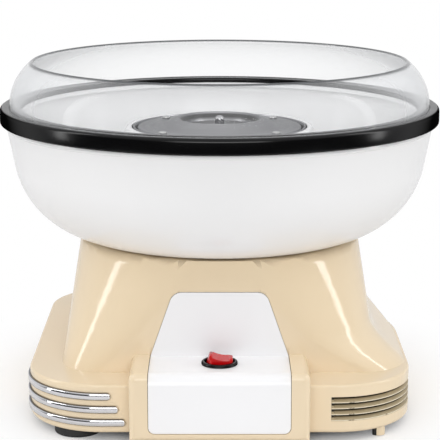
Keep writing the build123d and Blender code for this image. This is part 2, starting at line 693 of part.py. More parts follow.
def bottom_cover():
    """Flat cover let into the base from below, with slots for the cooling air."""
    cover = plinth_block(-WALL - SEAM, PLINTH_BOTTOM, COVER_TOP)
    for x, y in cover_screw_places():
        cover -= peg(M4 + SEAM, x, y, 0, COVER_TOP + CUT)
        cover -= peg(M4_HEAD_RADIUS + SEAM, x, y, 0, PLINTH_BOTTOM + COVER_SCREW_SINK)
    for x, y in foot_places():
        cover += peg(FOOT_BOSS_RADIUS, x, y, PLINTH_BOTTOM, COVER_TOP + FOOT_BOSS_HEIGHT)
        cover -= peg(M4 + FIT, x, y, 0, COVER_TOP + FOOT_BOSS_HEIGHT + CUT)
    for index in range(AIR_SLOTS):
        y = (index - (AIR_SLOTS - 1) / 2) * AIR_SLOT_PITCH
        length = 2 * math.sqrt(FAN_RADIUS**2 - y**2)
        cover -= Pos(0, y, PLINTH_BOTTOM) * Box(length, AIR_SLOT_WIDTH, 4 * PLATE)
    return cover - peg(POST_RADIUS + SEAM, POST_X, POST_Y, 0, COVER_TOP + CUT)


def cover_screws():
    """Cross-slotted screws from below, let into the bottom cover."""
    screws = []
    for x, y in cover_screw_places():
        screw = peg(M4_HEAD_RADIUS, x, y, PLINTH_BOTTOM, PLINTH_BOTTOM + COVER_SCREW_SINK)
        screw += peg(M4, x, y, PLINTH_BOTTOM, COVER_TOP + COVER_SCREW_LENGTH)
        screw -= Pos(x, y, PLINTH_BOTTOM) * Box(2 * M4, DRIVER_SLOT, COVER_SCREW_SINK)
        screw -= Pos(x, y, PLINTH_BOTTOM) * Box(DRIVER_SLOT, 2 * M4, COVER_SCREW_SINK)
        screws.append(screw)
    return screws


def rubber_foot(x, y):
    """A rubber disc, hollowed below for the head of its screw."""
    foot = peg(FOOT_RADIUS, x, y, 0, FOOT_HEIGHT)
    foot = fillet(foot.edges().sort_by(Axis.Z)[0], FOOT_ROUND)
    foot -= peg(M4 + SEAM, x, y, 0, FOOT_HEIGHT + CUT)
    return foot - peg(FOOT_SCREW_HEAD_RADIUS + SEAM, x, y, -CUT, FOOT_SCREW_SEAT)


def foot_screws():
    screws = []
    for x, y in foot_places():
        head_low = FOOT_SCREW_SEAT - SCREW_HEAD_HEIGHT
        screw = peg(FOOT_SCREW_HEAD_RADIUS, x, y, head_low, FOOT_SCREW_SEAT)
        screw += peg(M4, x, y, head_low, COVER_TOP + FOOT_BOSS_HEIGHT)
        screws.append(screw)
    return screws


def foot_sleeve():
    """Cream half sleeve of the right front foot, open on its left."""
    plug_x = POST_X - POST_PLUG_OFFSET
    reach = 2 * POST_RADIUS
    sleeve = peg(POST_RADIUS, POST_X, POST_Y, POST_LIFT, COVER_TOP)
    sleeve -= peg(POST_PLUG_RADIUS + FIT, plug_x, POST_Y, 0, COVER_TOP + CUT)
    return sleeve - block(plug_x - reach, plug_x, POST_Y - reach, POST_Y + reach, 0, COVER_TOP + CUT)


def foot_plug():
    """Black rubber plug held in the half sleeve; it meets the table."""
    return peg(POST_PLUG_RADIUS, POST_X - POST_PLUG_OFFSET, POST_Y, 0, COVER_TOP)


def cord_gland():
    """Rubber bush in the rear wall, with a flat slot for a twin cord."""
    flange = Cylinder(GLAND_RADIUS, GLAND_FLANGE)
    flange = fillet(flange.edges().sort_by(Axis.Z)[-1], GLAND_BARB)
    neck = GLAND_RADIUS - GLAND_STEP
    gland = Pos(0, 0, GLAND_FLANGE / 2) * flange
    gland += Pos(0, 0, -WALL / 2) * Cylinder(neck, WALL)
    gland += Pos(0, 0, -WALL - GLAND_STEP / 2) * Cylinder(neck + GLAND_BARB, GLAND_STEP)
    gland -= extrude(Plane.XY.offset(-3 * WALL) * SlotOverall(CORD_WIDTH, CORD_THICKNESS), 6 * WALL)
    return Pos(GLAND_X, PLINTH_HALF_DEPTH, GLAND_HEIGHT) * Rot(-90, 0, 0) * gland


# ---------------------------------------------------------------- switch
def switch_body():
    """Black round bezel and barrel of the rocker switch, hollow for the rocker."""
    top = PANEL_SHELF + SWITCH_FLANGE
    low = PANEL_SHELF - SWITCH_DEPTH
    flange = tube(SWITCH_FLANGE_RADIUS, 0, PANEL_SHELF, top)
    flange = fillet(flange.edges().sort_by(Axis.Z)[-1], SWITCH_ROUND)
    body = flange + tube(SWITCH_BARREL_RADIUS, 0, low, PANEL_SHELF)
    body -= tube(ROCKER_RADIUS + ROCKER_GAP, 0, ROCKER_AXIS - ROCKER_DEPTH, top + CUT)
    ear_low = ROCKER_HALF_DEPTH + SEAM
    ear_high = SWITCH_BARREL_RADIUS - SWITCH_EAR_WALL
    half = SWITCH_EAR_HALF_WIDTH
    for side in (-1, 1):
        ends = sorted((side * ear_low, side * ear_high))
        body += block(-half, half, *ends, low, ROCKER_AXIS + SWITCH_EAR_RISE)
    return Pos(0, SWITCH_Y, 0) * body - switch_pin(FIT)


def switch_pin(outset=0.0):
    """Steel pin the rocker turns on, held in the switch's two ears."""
    length = 2 * (SWITCH_BARREL_RADIUS - SWITCH_ROUND + outset)
    pin = Cylinder(ROCKER_PIN_RADIUS + outset, length)
    return Pos(0, SWITCH_Y, ROCKER_AXIS) * Rot(90, 0, 0) * pin


def switch_rocker():
    """Red rocker, dished across the top, with its left end up."""
    half = ROCKER_RADIUS
    crown = half - 1.4
    top = ROCKER_AXIS + ROCKER_CROWN
    sides = Polyline(
        (crown, top),
        (half - 1.0, top - 0.5),
        (half, ROCKER_AXIS + 0.5),
        (ROCKER_KEEL, ROCKER_AXIS - ROCKER_KEEL),
        (-ROCKER_KEEL, ROCKER_AXIS - ROCKER_KEEL),
        (-half, ROCKER_AXIS + 0.5),
        (1.0 - half, top - 0.5),
        (-crown, top),
    )
    dish = ThreePointArc((-crown, top), (0, top - ROCKER_DISH), (crown, top))
    depth = ROCKER_HALF_DEPTH
    rocker = extrude(Plane.XZ.offset(-depth) * make_face(Curve() + [sides, dish]), 2 * depth)
    rocker = rocker & tube(ROCKER_RADIUS, 0, ROCKER_AXIS - 2 * ROCKER_KEEL, top + CUT)
    tilt = Pos(0, 0, ROCKER_AXIS) * Rot(0, ROCKER_TILT, 0) * Pos(0, 0, -ROCKER_AXIS)
    return Pos(0, SWITCH_Y, 0) * tilt * rocker - switch_pin(FIT)


def switch_terminals():
    """Two blade terminals standing out of the bottom of the switch barrel."""
    low = PANEL_SHELF - SWITCH_DEPTH
    blades = []
    for side in (-1, 1):
        blades.append(Pos(side * BLADE_OFFSET, SWITCH_Y, low - BLADE[2] / 2) * Box(*BLADE))
    return blades


# ---------------------------------------------------------------- heater
def heater_pan():
    """Pressed aluminium dish on the turret, with the bright collar round its rim."""
    inner = PAN_RADIUS - SHEET
    pan = turned_points(
        (PAN_HOLE_RADIUS, TURRET_TOP),
        (PAN_RADIUS, TURRET_TOP),
        (PAN_RADIUS, COLLAR_TOP - 2.2),
        (COLLAR_RADIUS, COLLAR_TOP - 1.2),
        (COLLAR_RADIUS, COLLAR_TOP),
        (COLLAR_RADIUS - 1.0, COLLAR_TOP + 0.2),
        (inner + 0.6, COLLAR_TOP - 0.6),
        (inner, COLLAR_TOP - 1.6),
        (inner, PAN_FLOOR),
        (PAN_HOLE_RADIUS, PAN_FLOOR),
    )
    for x, y in pan_screw_places():
        pan -= peg(M4 + FIT, x, y, TURRET_TOP - CUT, PAN_FLOOR + CUT)
    for x, y in heater_lead_places():
        pan -= peg(BUSH_RADIUS + FIT, x, y, TURRET_TOP - CUT, PAN_FLOOR + CUT)
    return pan


def pan_screw_places():
    return round_places(PAN_SCREW_CIRCLE, 3, 90)


def pan_screws():
    """Three screws through the pan and the turret's flange into the standoffs."""
    screws = []
    for x, y in pan_screw_places():
        head = peg(M4_HEAD_RADIUS, x, y, PAN_FLOOR, PAN_FLOOR + PAN_SCREW_HEAD_HEIGHT)
        head = fillet(head.edges().sort_by(Axis.Z)[-1], SCREW_ROUND)
        screws.append(head + peg(M4, x, y, SHIELD_BOTTOM - PAN_SCREW_REACH, PAN_FLOOR))
    return screws


def heater_lead_places():
    angle = math.radians(HEATER_LEAD_ANGLE)
    x = HEATER_RADIUS * math.sin(angle)
    y = -HEATER_RADIUS * math.cos(angle)
    return [(x, y), (-x, y)]


def heater_ring():
    """Tubular heating element, an open ring whose two ends turn down through the pan."""
    section = Pos(HEATER_RADIUS, 0, HEATER_HEIGHT) * Rot(90, 0, 0) * Circle(HEATER_TUBE)
    ring = revolve(section, Axis.Z, 360 - 2 * HEATER_LEAD_ANGLE)
    ring = Rot(0, 0, HEATER_LEAD_ANGLE - 90) * ring
    for x, y in heater_lead_places():
        ring += Pos(x, y, HEATER_HEIGHT) * Sphere(HEATER_TUBE)
        ring += peg(HEATER_PIN_RADIUS, x, y, SHIELD_BOTTOM - HEATER_PIN_REACH, HEATER_HEIGHT)
    return ring


def heater_insulators():
    """Ceramic saddles that carry the heating element off the pan."""
    near = HEATER_RADIUS - SADDLE_HALF_LENGTH
    far = HEATER_RADIUS + SADDLE_HALF_LENGTH
    half = SADDLE_HALF_WIDTH
    saddle = block(near, far, -half, half, PAN_FLOOR, HEATER_HEIGHT)
    saddle -= Pos(0, 0, HEATER_HEIGHT) * Torus(HEATER_RADIUS, HEATER_TUBE + FIT)
    return [Rot(0, 0, angle) * saddle for angle in SADDLE_ANGLES]


def lead_bushes():
    """Ceramic bushes that insulate the element's pins where they pass the pan."""
    bushes = []
    for x, y in heater_lead_places():
        bush = peg(BUSH_RADIUS + BUSH_BRIM, x, y, PAN_FLOOR, PAN_FLOOR + BUSH_FLANGE)
        bush += peg(BUSH_RADIUS, x, y, SHIELD_BOTTOM - BUSH_REACH, PAN_FLOOR)
        bush -= peg(HEATER_PIN_RADIUS + FIT, x, y, 0, HEATER_HEIGHT)
        bushes.append(bush)
    return bushes


def heat_shield():
    """Steel disc under the turret's flange that keeps the heat off the motor."""
    shield = tube(TURRET_BORE, SHAFT_RADIUS + SHIELD_HOLE_GAP, SHIELD_BOTTOM, SHIELD_TOP)
    for x, y in pan_screw_places():
        shield -= peg(M4 + FIT, x, y, 0, SHIELD_TOP + CUT)
    for x, y in heater_lead_places():
        shield -= peg(BUSH_RADIUS + FIT, x, y, 0, SHIELD_TOP + CUT)
    return shield


def thermal_cutout():
    """Round bimetal cut-out pressed against the underside of the heat shield."""
    step = SHIELD_BOTTOM - CUTOUT_HEIGHT
    low = step - CUTOUT_STEP
    width, depth, length = BLADE[1], BLADE[0], BLADE[2]
    body = peg(CUTOUT_RADIUS, CUTOUT_X, 0, step, SHIELD_BOTTOM)
    body += peg(CUTOUT_STEP_RADIUS, CUTOUT_X, 0, low, step)
    for side in (-1, 1):
        body += Pos(CUTOUT_X, side * BLADE_OFFSET, low - length / 2) * Box(width, depth, length)
    return body


# ---------------------------------------------------------------- motor
def motor_standoffs():
    """Hexagonal standoffs that hang the motor plate under the turret."""
    posts = []
    for x, y in pan_screw_places():
        post = Pos(x, y, PLATE_TOP) * extrude(RegularPolygon(STANDOFF_RADIUS, 6), STANDOFF_LENGTH)
        post -= peg(M4 + FIT, x, y, SHIELD_BOTTOM - PAN_SCREW_REACH - CUT, SHIELD_BOTTOM + CUT)
        post -= peg(M3 + FIT, x, y, PLATE_TOP - CUT, PLATE_TOP + PLATE_SCREW_REACH + CUT)
        posts.append(post)
    return posts


def motor_plate():
    """Three-armed steel plate under the standoffs; the motor hangs from it."""
    half = PLATE_ARM_HALF_WIDTH
    arm = block(0, PAN_SCREW_CIRCLE, -half, half, MOTOR_TOP, PLATE_TOP)
    arm += peg(half, PAN_SCREW_CIRCLE, 0, MOTOR_TOP, PLATE_TOP)
    arm = arm & tube(TURRET_BORE, 0, MOTOR_TOP, PLATE_TOP)
    plate = tube(MOTOR_RADIUS + PLATE_RIM, 0, MOTOR_TOP, PLATE_TOP)
    for angle in (90, 210, 330):
        plate += Rot(0, 0, angle) * arm
    plate -= tube(BEARING_RADIUS + BEARING_GAP, 0, MOTOR_TOP - CUT, PLATE_TOP + CUT)
    for x, y in pan_screw_places() + motor_screw_places():
        plate -= peg(M3 + FIT, x, y, MOTOR_TOP - CUT, PLATE_TOP + CUT)
    return plate


def motor_screw_places():
    return [(-MOTOR_SCREW_CIRCLE, 0), (MOTOR_SCREW_CIRCLE, 0)]


def plate_screws():
    """Three screws from below that hold the motor plate to the standoffs."""
    screws = []
    for x, y in pan_screw_places():
        screw = peg(M3_HEAD_RADIUS, x, y, MOTOR_TOP - SCREW_HEAD_HEIGHT, MOTOR_TOP)
        screw += peg(M3, x, y, MOTOR_TOP, PLATE_TOP + PLATE_SCREW_REACH)
        screws.append(screw)
    return screws


def motor_screws():
    """Two screws from above that hold the motor's end cap to the plate."""
    screws = []
    for x, y in motor_screw_places():
        screw = peg(M3_HEAD_RADIUS, x, y, PLATE_TOP, PLATE_TOP + SCREW_HEAD_HEIGHT)
        screw += peg(M3, x, y, END_CAP_BOTTOM + END_CAP_FLOOR, PLATE_TOP)
        screws.append(screw)
    return screws


def motor_end_cap():
    """Moulded cap that closes the can and holds the upper bearing."""
    cap = tube(MOTOR_RADIUS, BEARING_RADIUS + FIT, END_CAP_BOTTOM, MOTOR_TOP)
    cap -= tube(MOTOR_RADIUS + CUT, CAN_BORE, 0, END_CAP_BOTTOM + END_CAP_STEP)
    for x, y in motor_screw_places():
        cap -= peg(M3 + FIT, x, y, END_CAP_BOTTOM + END_CAP_FLOOR - SEAM, MOTOR_TOP + CUT)
    return cap


def motor_can():
    """Drawn steel cup that holds the magnets and the lower bearing."""
    low = MOTOR_BOTTOM
    seat = BEARING_RADIUS + BEARING_SEAT_WALL
    can = tube(MOTOR_RADIUS, CAN_BORE + FIT, low, END_CAP_BOTTOM + END_CAP_STEP)
    can += tube(MOTOR_RADIUS, BEARING_RADIUS + FIT, low, low + MOTOR_CAN_WALL)
    return can + tube(seat, BEARING_RADIUS + FIT, low, low + BEARING_WIDTH)


def bearing(low):
    """A ball bearing drawn as one ring, with the groove between its races."""
    ring = tube(BEARING_RADIUS, SHAFT_RADIUS + FIT, low, low + BEARING_WIDTH)
    groove = tube(BEARING_RADIUS - BEARING_RACE, SHAFT_RADIUS + BEARING_RACE, 0, BEARING_GROOVE)
    ring -= Pos(0, 0, low + BEARING_WIDTH - BEARING_GROOVE) * groove
    return ring - Pos(0, 0, low) * groove


def motor_magnets():
    """Two arc magnets against the inside of the can."""
    low = ROTOR_BOTTOM - MAGNET_OVERLAP
    high = ROTOR_TOP + MAGNET_OVERLAP
    half = MAGNET_HALF_GAP
    magnets = tube(CAN_BORE, CAN_BORE - MAGNET_THICKNESS, low, high)
    return magnets - block(-half, half, -MOTOR_RADIUS, MOTOR_RADIUS, low - CUT, high + CUT)


def brush_card():
    """Insulating card under the end cap that carries the two brushes."""
    return tube(CAN_BORE, SHAFT_RADIUS + WINDING_GAP, CARD_BOTTOM, END_CAP_BOTTOM)


def motor_brushes():
    """Two brushes under the card, one each side of the commutator."""
    near = COMMUTATOR_RADIUS + SEAM
    low = CARD_BOTTOM - BRUSH_HEIGHT
    half = BRUSH_HALF_WIDTH
    brush = block(near, COMMUTATOR_RADIUS + BRUSH_LENGTH, -half, half, low, CARD_BOTTOM)
    brush -= tube(near, 0, low - CUT, CARD_BOTTOM + CUT)
    return [brush, Rot(0, 0, 180) * brush]


# ---------------------------------------------------------------- spindle
def motor_shaft():
    """Ground steel spindle from the fan to the domed tip in the sugar well."""
    shaft = tube(SHAFT_RADIUS, 0, SHAFT_BOTTOM, SHAFT_TOP)
    shaft = fillet(shaft.edges().sort_by(Axis.Z)[-1], 0.8 * SHAFT_RADIUS)
    return shaft - drive_pin(FIT)


def drive_pin(outset=0.0):
    """Cross pin that drives the head and carries its weight."""
    pin = Cylinder(PIN_RADIUS + outset, 2 * (PIN_HALF_LENGTH + outset))
    return Pos(0, 0, PIN_HEIGHT) * Rot(0, 90, 0) * pin


def rotor_core():
    """Slotted stack of laminations on the shaft."""
    core = tube(ROTOR_RADIUS, SHAFT_RADIUS + PRESS, ROTOR_BOTTOM, ROTOR_TOP)
    near = ROTOR_RADIUS - ROTOR_SLOT_DEPTH
    half = ROTOR_SLOT_HALF_WIDTH
    slot = block(near, ROTOR_RADIUS + CUT, -half, half, ROTOR_BOTTOM - CUT, ROTOR_TOP + CUT)
    for index in range(ROTOR_SLOTS):
        core -= Rot(0, 0, 360 * index / ROTOR_SLOTS) * slot
    return core


def rotor_windings():
    """Copper coil heads at both ends of the stack."""
    windings = []
    for low in (ROTOR_BOTTOM - WINDING_HEIGHT, ROTOR_TOP):
        outer = ROTOR_RADIUS - WINDING_INSET
        windings.append(tube(outer, SHAFT_RADIUS + WINDING_GAP, low, low + WINDING_HEIGHT))
    return windings


def commutator():
    """Copper drum on the shaft, one segment for each slot of the rotor."""
    low = ROTOR_TOP + WINDING_HEIGHT
    high = CARD_BOTTOM - COMMUTATOR_GAP
    near = COMMUTATOR_RADIUS - SEGMENT_DEPTH
    half = SEGMENT_HALF_GAP
    drum = tube(COMMUTATOR_RADIUS, SHAFT_RADIUS + PRESS, low, high)
    gap = block(near, COMMUTATOR_RADIUS + CUT, -half, half, low + CUT, high + CUT)
    for index in range(ROTOR_SLOTS):
        drum -= Rot(0, 0, 360 * index / ROTOR_SLOTS) * gap
    return drum


def cooling_fan():
    """Fan on the shaft's lower end: pitched blades on a hub."""
    low = SHAFT_BOTTOM + CUT
    root = FAN_HUB_RADIUS - FAN_HUB_SINK
    fan = tube(FAN_HUB_RADIUS, 0, low, low + FAN_HEIGHT)
    blade = Box(FAN_RADIUS - root, BLADE_WIDTH, BLADE_THICKNESS)
    blade = Pos((FAN_RADIUS + root) / 2, 0, low + FAN_HEIGHT / 2) * Rot(FAN_PITCH, 0, 0) * blade
    for index in range(FAN_BLADES):
        fan += Rot(0, 0, 360 * index / FAN_BLADES) * blade
    return fan - tube(SHAFT_RADIUS + PRESS, 0, low - CUT, low + FAN_HEIGHT + CUT)


# ---------------------------------------------------------------- sugar head
def head_screw_places():
    angle = math.radians(HEAD_SCREW_ANGLE)
    x = HEAD_SCREW_CIRCLE * math.cos(angle)
    y = HEAD_SCREW_CIRCLE * math.sin(angle)
    return [(-x, -y), (-x, y), (x, -y), (x, y)]


def head_top():
    """Spun aluminium cover of the head: a flat brim round a raised crater."""
    rim = HEAD_TOP + CRATER_RISE
    skin = HEAD_PLATE
    cover = turned_points(
        (WELL_FLOOR_RADIUS + 2.2, WELL_FLOOR - 0.6),
        (WELL_RADIUS, rim - 0.8),
        (WELL_RADIUS + 0.8, rim),
        (CRATER_RIM_RADIUS, rim),
        (CRATER_BASE_RADIUS, HEAD_TOP),
        (HEAD_RADIUS - 0.8, HEAD_TOP),
        (HEAD_RADIUS, HEAD_TOP - 0.7),
        (HEAD_RADIUS, HEAD_SPACE_TOP),
        (CRATER_BASE_RADIUS - 0.8, HEAD_SPACE_TOP),
        (CRATER_RIM_RADIUS - 0.6, rim - skin),
        (WELL_RADIUS + 1.4, rim - skin),
        (WELL_FLOOR_RADIUS + 3.8, WELL_FLOOR - 0.6),
    )
    for x, y in head_screw_places():
        cover -= peg(M3 + FIT, x, y, HEAD_SPACE_TOP - CUT, HEAD_TOP + CUT)
    return cover


def head_base():
    """Lower plate of the head, with the well floor and the hub that sits on the drive pin."""
    floor = HEAD_FLOOR
    bore = SHAFT_RADIUS + FIT
    base = turned_points(
        (bore, HUB_BOTTOM),
        (HUB_RADIUS, HUB_BOTTOM),
        (HUB_RADIUS, WELL_FLOOR - floor),
        (WELL_FLOOR_RADIUS - floor, WELL_FLOOR - floor),
        (WELL_FLOOR_RADIUS - floor, HEAD_BOTTOM),
        (HEAD_RADIUS - 1, HEAD_BOTTOM),
        (HEAD_RADIUS - 1, HEAD_SPACE_BOTTOM),
        (WELL_FLOOR_RADIUS, HEAD_SPACE_BOTTOM),
        (WELL_FLOOR_RADIUS, WELL_FLOOR),
        (bore, WELL_FLOOR),
    )
    reach = HUB_RADIUS + CUT
    half = PIN_RADIUS + FIT
    base -= block(-reach, reach, -half, half, HUB_BOTTOM - CUT, PIN_HEIGHT + PIN_RADIUS)
    for x, y in head_screw_places():
        base -= peg(M3 + FIT, x, y, HEAD_BOTTOM - CUT, HEAD_SPACE_BOTTOM + CUT)
    return base


def sugar_screen():
    """Slotted band between the two plates; the melted sugar leaves through its slots."""
    outer = HEAD_RADIUS - SCREEN_INSET
    inner = outer - SCREEN_THICKNESS
    half = SCREEN_SLOT_HALF_WIDTH
    low = HEAD_SPACE_BOTTOM + SCREEN_BORDER
    high = HEAD_SPACE_TOP - SCREEN_BORDER
    band = tube(outer, inner, HEAD_SPACE_BOTTOM, HEAD_SPACE_TOP)
    slot = block(inner - CUT, outer + CUT, -half, half, low, high)
    for index in range(SCREEN_SLOTS):
        band -= Rot(0, 0, 360 * (index + 0.5) / SCREEN_SLOTS) * slot
    return band


def head_screws():
    """Four screws that clamp the head's two plates together."""
    screws = []
    for x, y in head_screw_places():
        head = peg(M3_HEAD_RADIUS, x, y, HEAD_TOP, HEAD_TOP + HEAD_SCREW_HEAD_HEIGHT)
        head = fillet(head.edges().sort_by(Axis.Z)[-1], SCREW_ROUND)
        screws.append(head + peg(M3, x, y, HEAD_BOTTOM, HEAD_TOP))
    return screws


def head_spacers():
    """Tubes on the screws that keep the two plates apart."""
    spacers = []
    for x, y in head_screw_places():
        post = peg(M3 + SPACER_WALL, x, y, HEAD_SPACE_BOTTOM, HEAD_SPACE_TOP)
        spacers.append(post - peg(M3 + FIT, x, y, 0, HEAD_TOP))
    return spacers


# ---------------------------------------------------------------- bowl and guard
def wall_line(offset):
    """Foot of the bowl's straight wall: where the line from the lip meets the round underside."""
    centre = (BOWL_CURVE_CENTRE, BOWL_CURVE_HEIGHT)
    reach = math.dist(centre, (BOWL_LIP_RADIUS, LIP_HEIGHT))
    rise = math.atan2(LIP_HEIGHT - centre[1], BOWL_LIP_RADIUS - centre[0])
    angle = rise - math.acos(BOWL_CURVE / reach)
    radius = BOWL_CURVE - offset
    return angle, (centre[0] + radius * math.cos(angle), centre[1] + radius * math.sin(angle))


def bowl():
    """White bowl: round outside, with a cone up the middle that fits over the turret."""
    angle, outer_foot = wall_line(0)
    inner_foot = wall_line(BOWL_WALL)[1]
    bead = BOWL_LIP_RADIUS + BOWL_BEAD
    flange_low = BOWL_TOP - BOWL_FLANGE_HEIGHT
    inner_lip = BOWL_LIP_RADIUS - BOWL_WALL
    floor = BOWL_BOTTOM + BOWL_WALL
    floor_inner = BOWL_SEAT_RADIUS + BOWL_WALL
    cone_top = BOWL_HOLE_RADIUS + CONE_LIP
    flange_edge = RING_INNER_RADIUS + BOWL_FLANGE_INSET
    sweep_out = -90 - math.degrees(angle)
    centre = (BOWL_CURVE_CENTRE, BOWL_CURVE_HEIGHT)
    edges = [
        Polyline(
            (BOWL_SEAT_RADIUS, BOWL_BOTTOM),
            (cone_top, BOWL_HOLE_TOP - 3.0),
            (BOWL_HOLE_RADIUS, BOWL_HOLE_TOP - 1.5),
            (BOWL_HOLE_RADIUS, BOWL_HOLE_TOP),
            (cone_top + 0.8, BOWL_HOLE_TOP),
            (cone_top + BOWL_WALL, BOWL_HOLE_TOP - 2.5),
            (floor_inner, floor),
            (centre[0], floor),
        ),
        CenterArc(centre, BOWL_CURVE - BOWL_WALL, -90, -sweep_out),
        Polyline(
            inner_foot,
            (inner_lip, LIP_HEIGHT),
            (inner_lip, flange_low),
            (flange_edge, flange_low),
            (flange_edge, BOWL_TOP),
            (BOWL_LIP_RADIUS, BOWL_TOP),
            (BOWL_LIP_RADIUS, RING_BOTTOM - SEAM),
            (bead, RING_BOTTOM - SEAM),
            (bead, LIP_HEIGHT + BOWL_BEAD),
            (BOWL_LIP_RADIUS, LIP_HEIGHT),
            outer_foot,
        ),
        CenterArc(centre, BOWL_CURVE, math.degrees(angle), sweep_out),
        Line((centre[0], BOWL_BOTTOM), (BOWL_SEAT_RADIUS, BOWL_BOTTOM)),
    ]
    return turned(*edges)


def rim_ring():
    """Glossy black ring over the bowl's lip, grooved on top for the guard."""
    skirt = RING_RADIUS - RING_SKIRT
    ring = turned_points(
        (RING_INNER_RADIUS, BOWL_TOP),
        (skirt, BOWL_TOP),
        (skirt, RING_BOTTOM),
        (RING_RADIUS, RING_BOTTOM),
        (RING_RADIUS, RING_TOP),
        (RING_INNER_RADIUS, RING_TOP),
    )
    outer = ring.edges().filter_by(lambda e: abs(e.bounding_box().max.X - RING_RADIUS) < 0.01)
    ring = fillet(outer.sort_by(Axis.Z)[-1], RING_TOP_ROUND)
    ring = fillet(
        ring.edges().filter_by(lambda e: abs(e.center().Z - RING_BOTTOM) < 0.01), RING_EDGE_ROUND
    )
    ring = fillet(
        ring.edges()
        .filter_by(lambda e: abs(e.bounding_box().max.X - RING_INNER_RADIUS) < 0.01)
        .sort_by(Axis.Z)[-1],
        RING_EDGE_ROUND,
    )
    groove_inner = GUARD_BASE_RADIUS - GUARD_WALL - GROOVE_GAP
    groove_outer = GUARD_BASE_RADIUS + GROOVE_GAP
    return ring - tube(groove_outer, groove_inner, GUARD_BOTTOM, RING_TOP + CUT)


def splash_guard():
    """Clear guard: a wall that curves inwards on an arc, with a rounded top edge."""
    centre = (GUARD_BASE_RADIUS - GUARD_CURVE, RING_TOP)
    angle = math.degrees(math.asin(GUARD_HEIGHT / GUARD_CURVE))
    inner_curve = GUARD_CURVE - GUARD_WALL
    outer = CenterArc(centre, GUARD_CURVE, 0, angle)
    inner = CenterArc(centre, inner_curve, 0, angle)
    inner_base = GUARD_BASE_RADIUS - GUARD_WALL
    guard = turned(
        Line((GUARD_BASE_RADIUS, GUARD_BOTTOM), (GUARD_BASE_RADIUS, RING_TOP)),
        outer,
        Line(outer @ 1, inner @ 1),
        inner,
        Line((inner_base, RING_TOP), (inner_base, GUARD_BOTTOM)),
        Line((inner_base, GUARD_BOTTOM), (GUARD_BASE_RADIUS, GUARD_BOTTOM)),
    )
    return guard


# ---------------------------------------------------------------- wiring
def terminal_block():
    """Mains terminal block on the bottom cover, behind the cord gland."""
    top = COVER_TOP + TERMINAL_HEIGHT
    width = TERMINAL_HALF_WIDTH
    depth = TERMINAL_HALF_DEPTH
    body = block(-width, width, -depth, depth, COVER_TOP, top)
    for x in (-TERMINAL_PITCH, 0, TERMINAL_PITCH):
        body -= peg(TERMINAL_HOLE, x, 0, top - TERMINAL_HOLE_DEPTH, top + CUT)
    return Pos(GLAND_X, TERMINAL_Y, 0) * body


PARTS = {
    "base_housing": base_housing,
    "bottom_cover": bottom_cover,
    "cover_screws": cover_screws,
    "foot_screws": foot_screws,
    "foot_sleeve": foot_sleeve,
    "foot_plug": foot_plug,
    "cord_gland": cord_gland,
    "front_panel": front_panel,
    "vent_grille": vent_grille,
    "switch_body": switch_body,
    "switch_pin": switch_pin,
    "switch_rocker": switch_rocker,
    "switch_terminals": switch_terminals,
    "heater_pan": heater_pan,
    "pan_screws": pan_screws,
    "heater_ring": heater_ring,
    "heater_insulators": heater_insulators,
    "lead_bushes": lead_bushes,
    "heat_shield": heat_shield,
    "thermal_cutout": thermal_cutout,
    "motor_standoffs": motor_standoffs,
    "motor_plate": motor_plate,
    "plate_screws": plate_screws,
    "motor_screws": motor_screws,
    "motor_end_cap": motor_end_cap,
    "motor_can": motor_can,
    "motor_magnets": motor_magnets,
    "brush_card": brush_card,
    "motor_brushes": motor_brushes,
    "motor_shaft": motor_shaft,
    "drive_pin": drive_pin,
    "rotor_core": rotor_core,
    "rotor_windings": rotor_windings,
    "commutator": commutator,
    "cooling_fan": cooling_fan,
    "head_top": head_top,
    "head_base": head_base,
    "sugar_screen": sugar_screen,
    "head_screws": head_screws,
    "head_spacers": head_spacers,
    "bowl": bowl,
    "rim_ring": rim_ring,
    "splash_guard": splash_guard,
    "terminal_block": terminal_block,
}


def write(name, shape):
    solids = shape if isinstance(shape, list) else [shape]
    export_step(Compound(children=solids), f"parts/{name}.step")


def main():
    os.makedirs("parts", exist_ok=True)
    for name, build in PARTS.items():
        write(name, build())
    for name in STRIP_BOX_GAPS:
        write(f"chrome_strip_{name}", strip_shape(name))
    for name, (x, y) in zip(("front_left", "rear_left", "rear_right"), foot_places()):
        write(f"{name}_foot", rubber_foot(x, y))
    write("upper_bearing", bearing(MOTOR_TOP - BEARING_WIDTH))
    write("lower_bearing", bearing(MOTOR_BOTTOM))


main()
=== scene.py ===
import json
import math

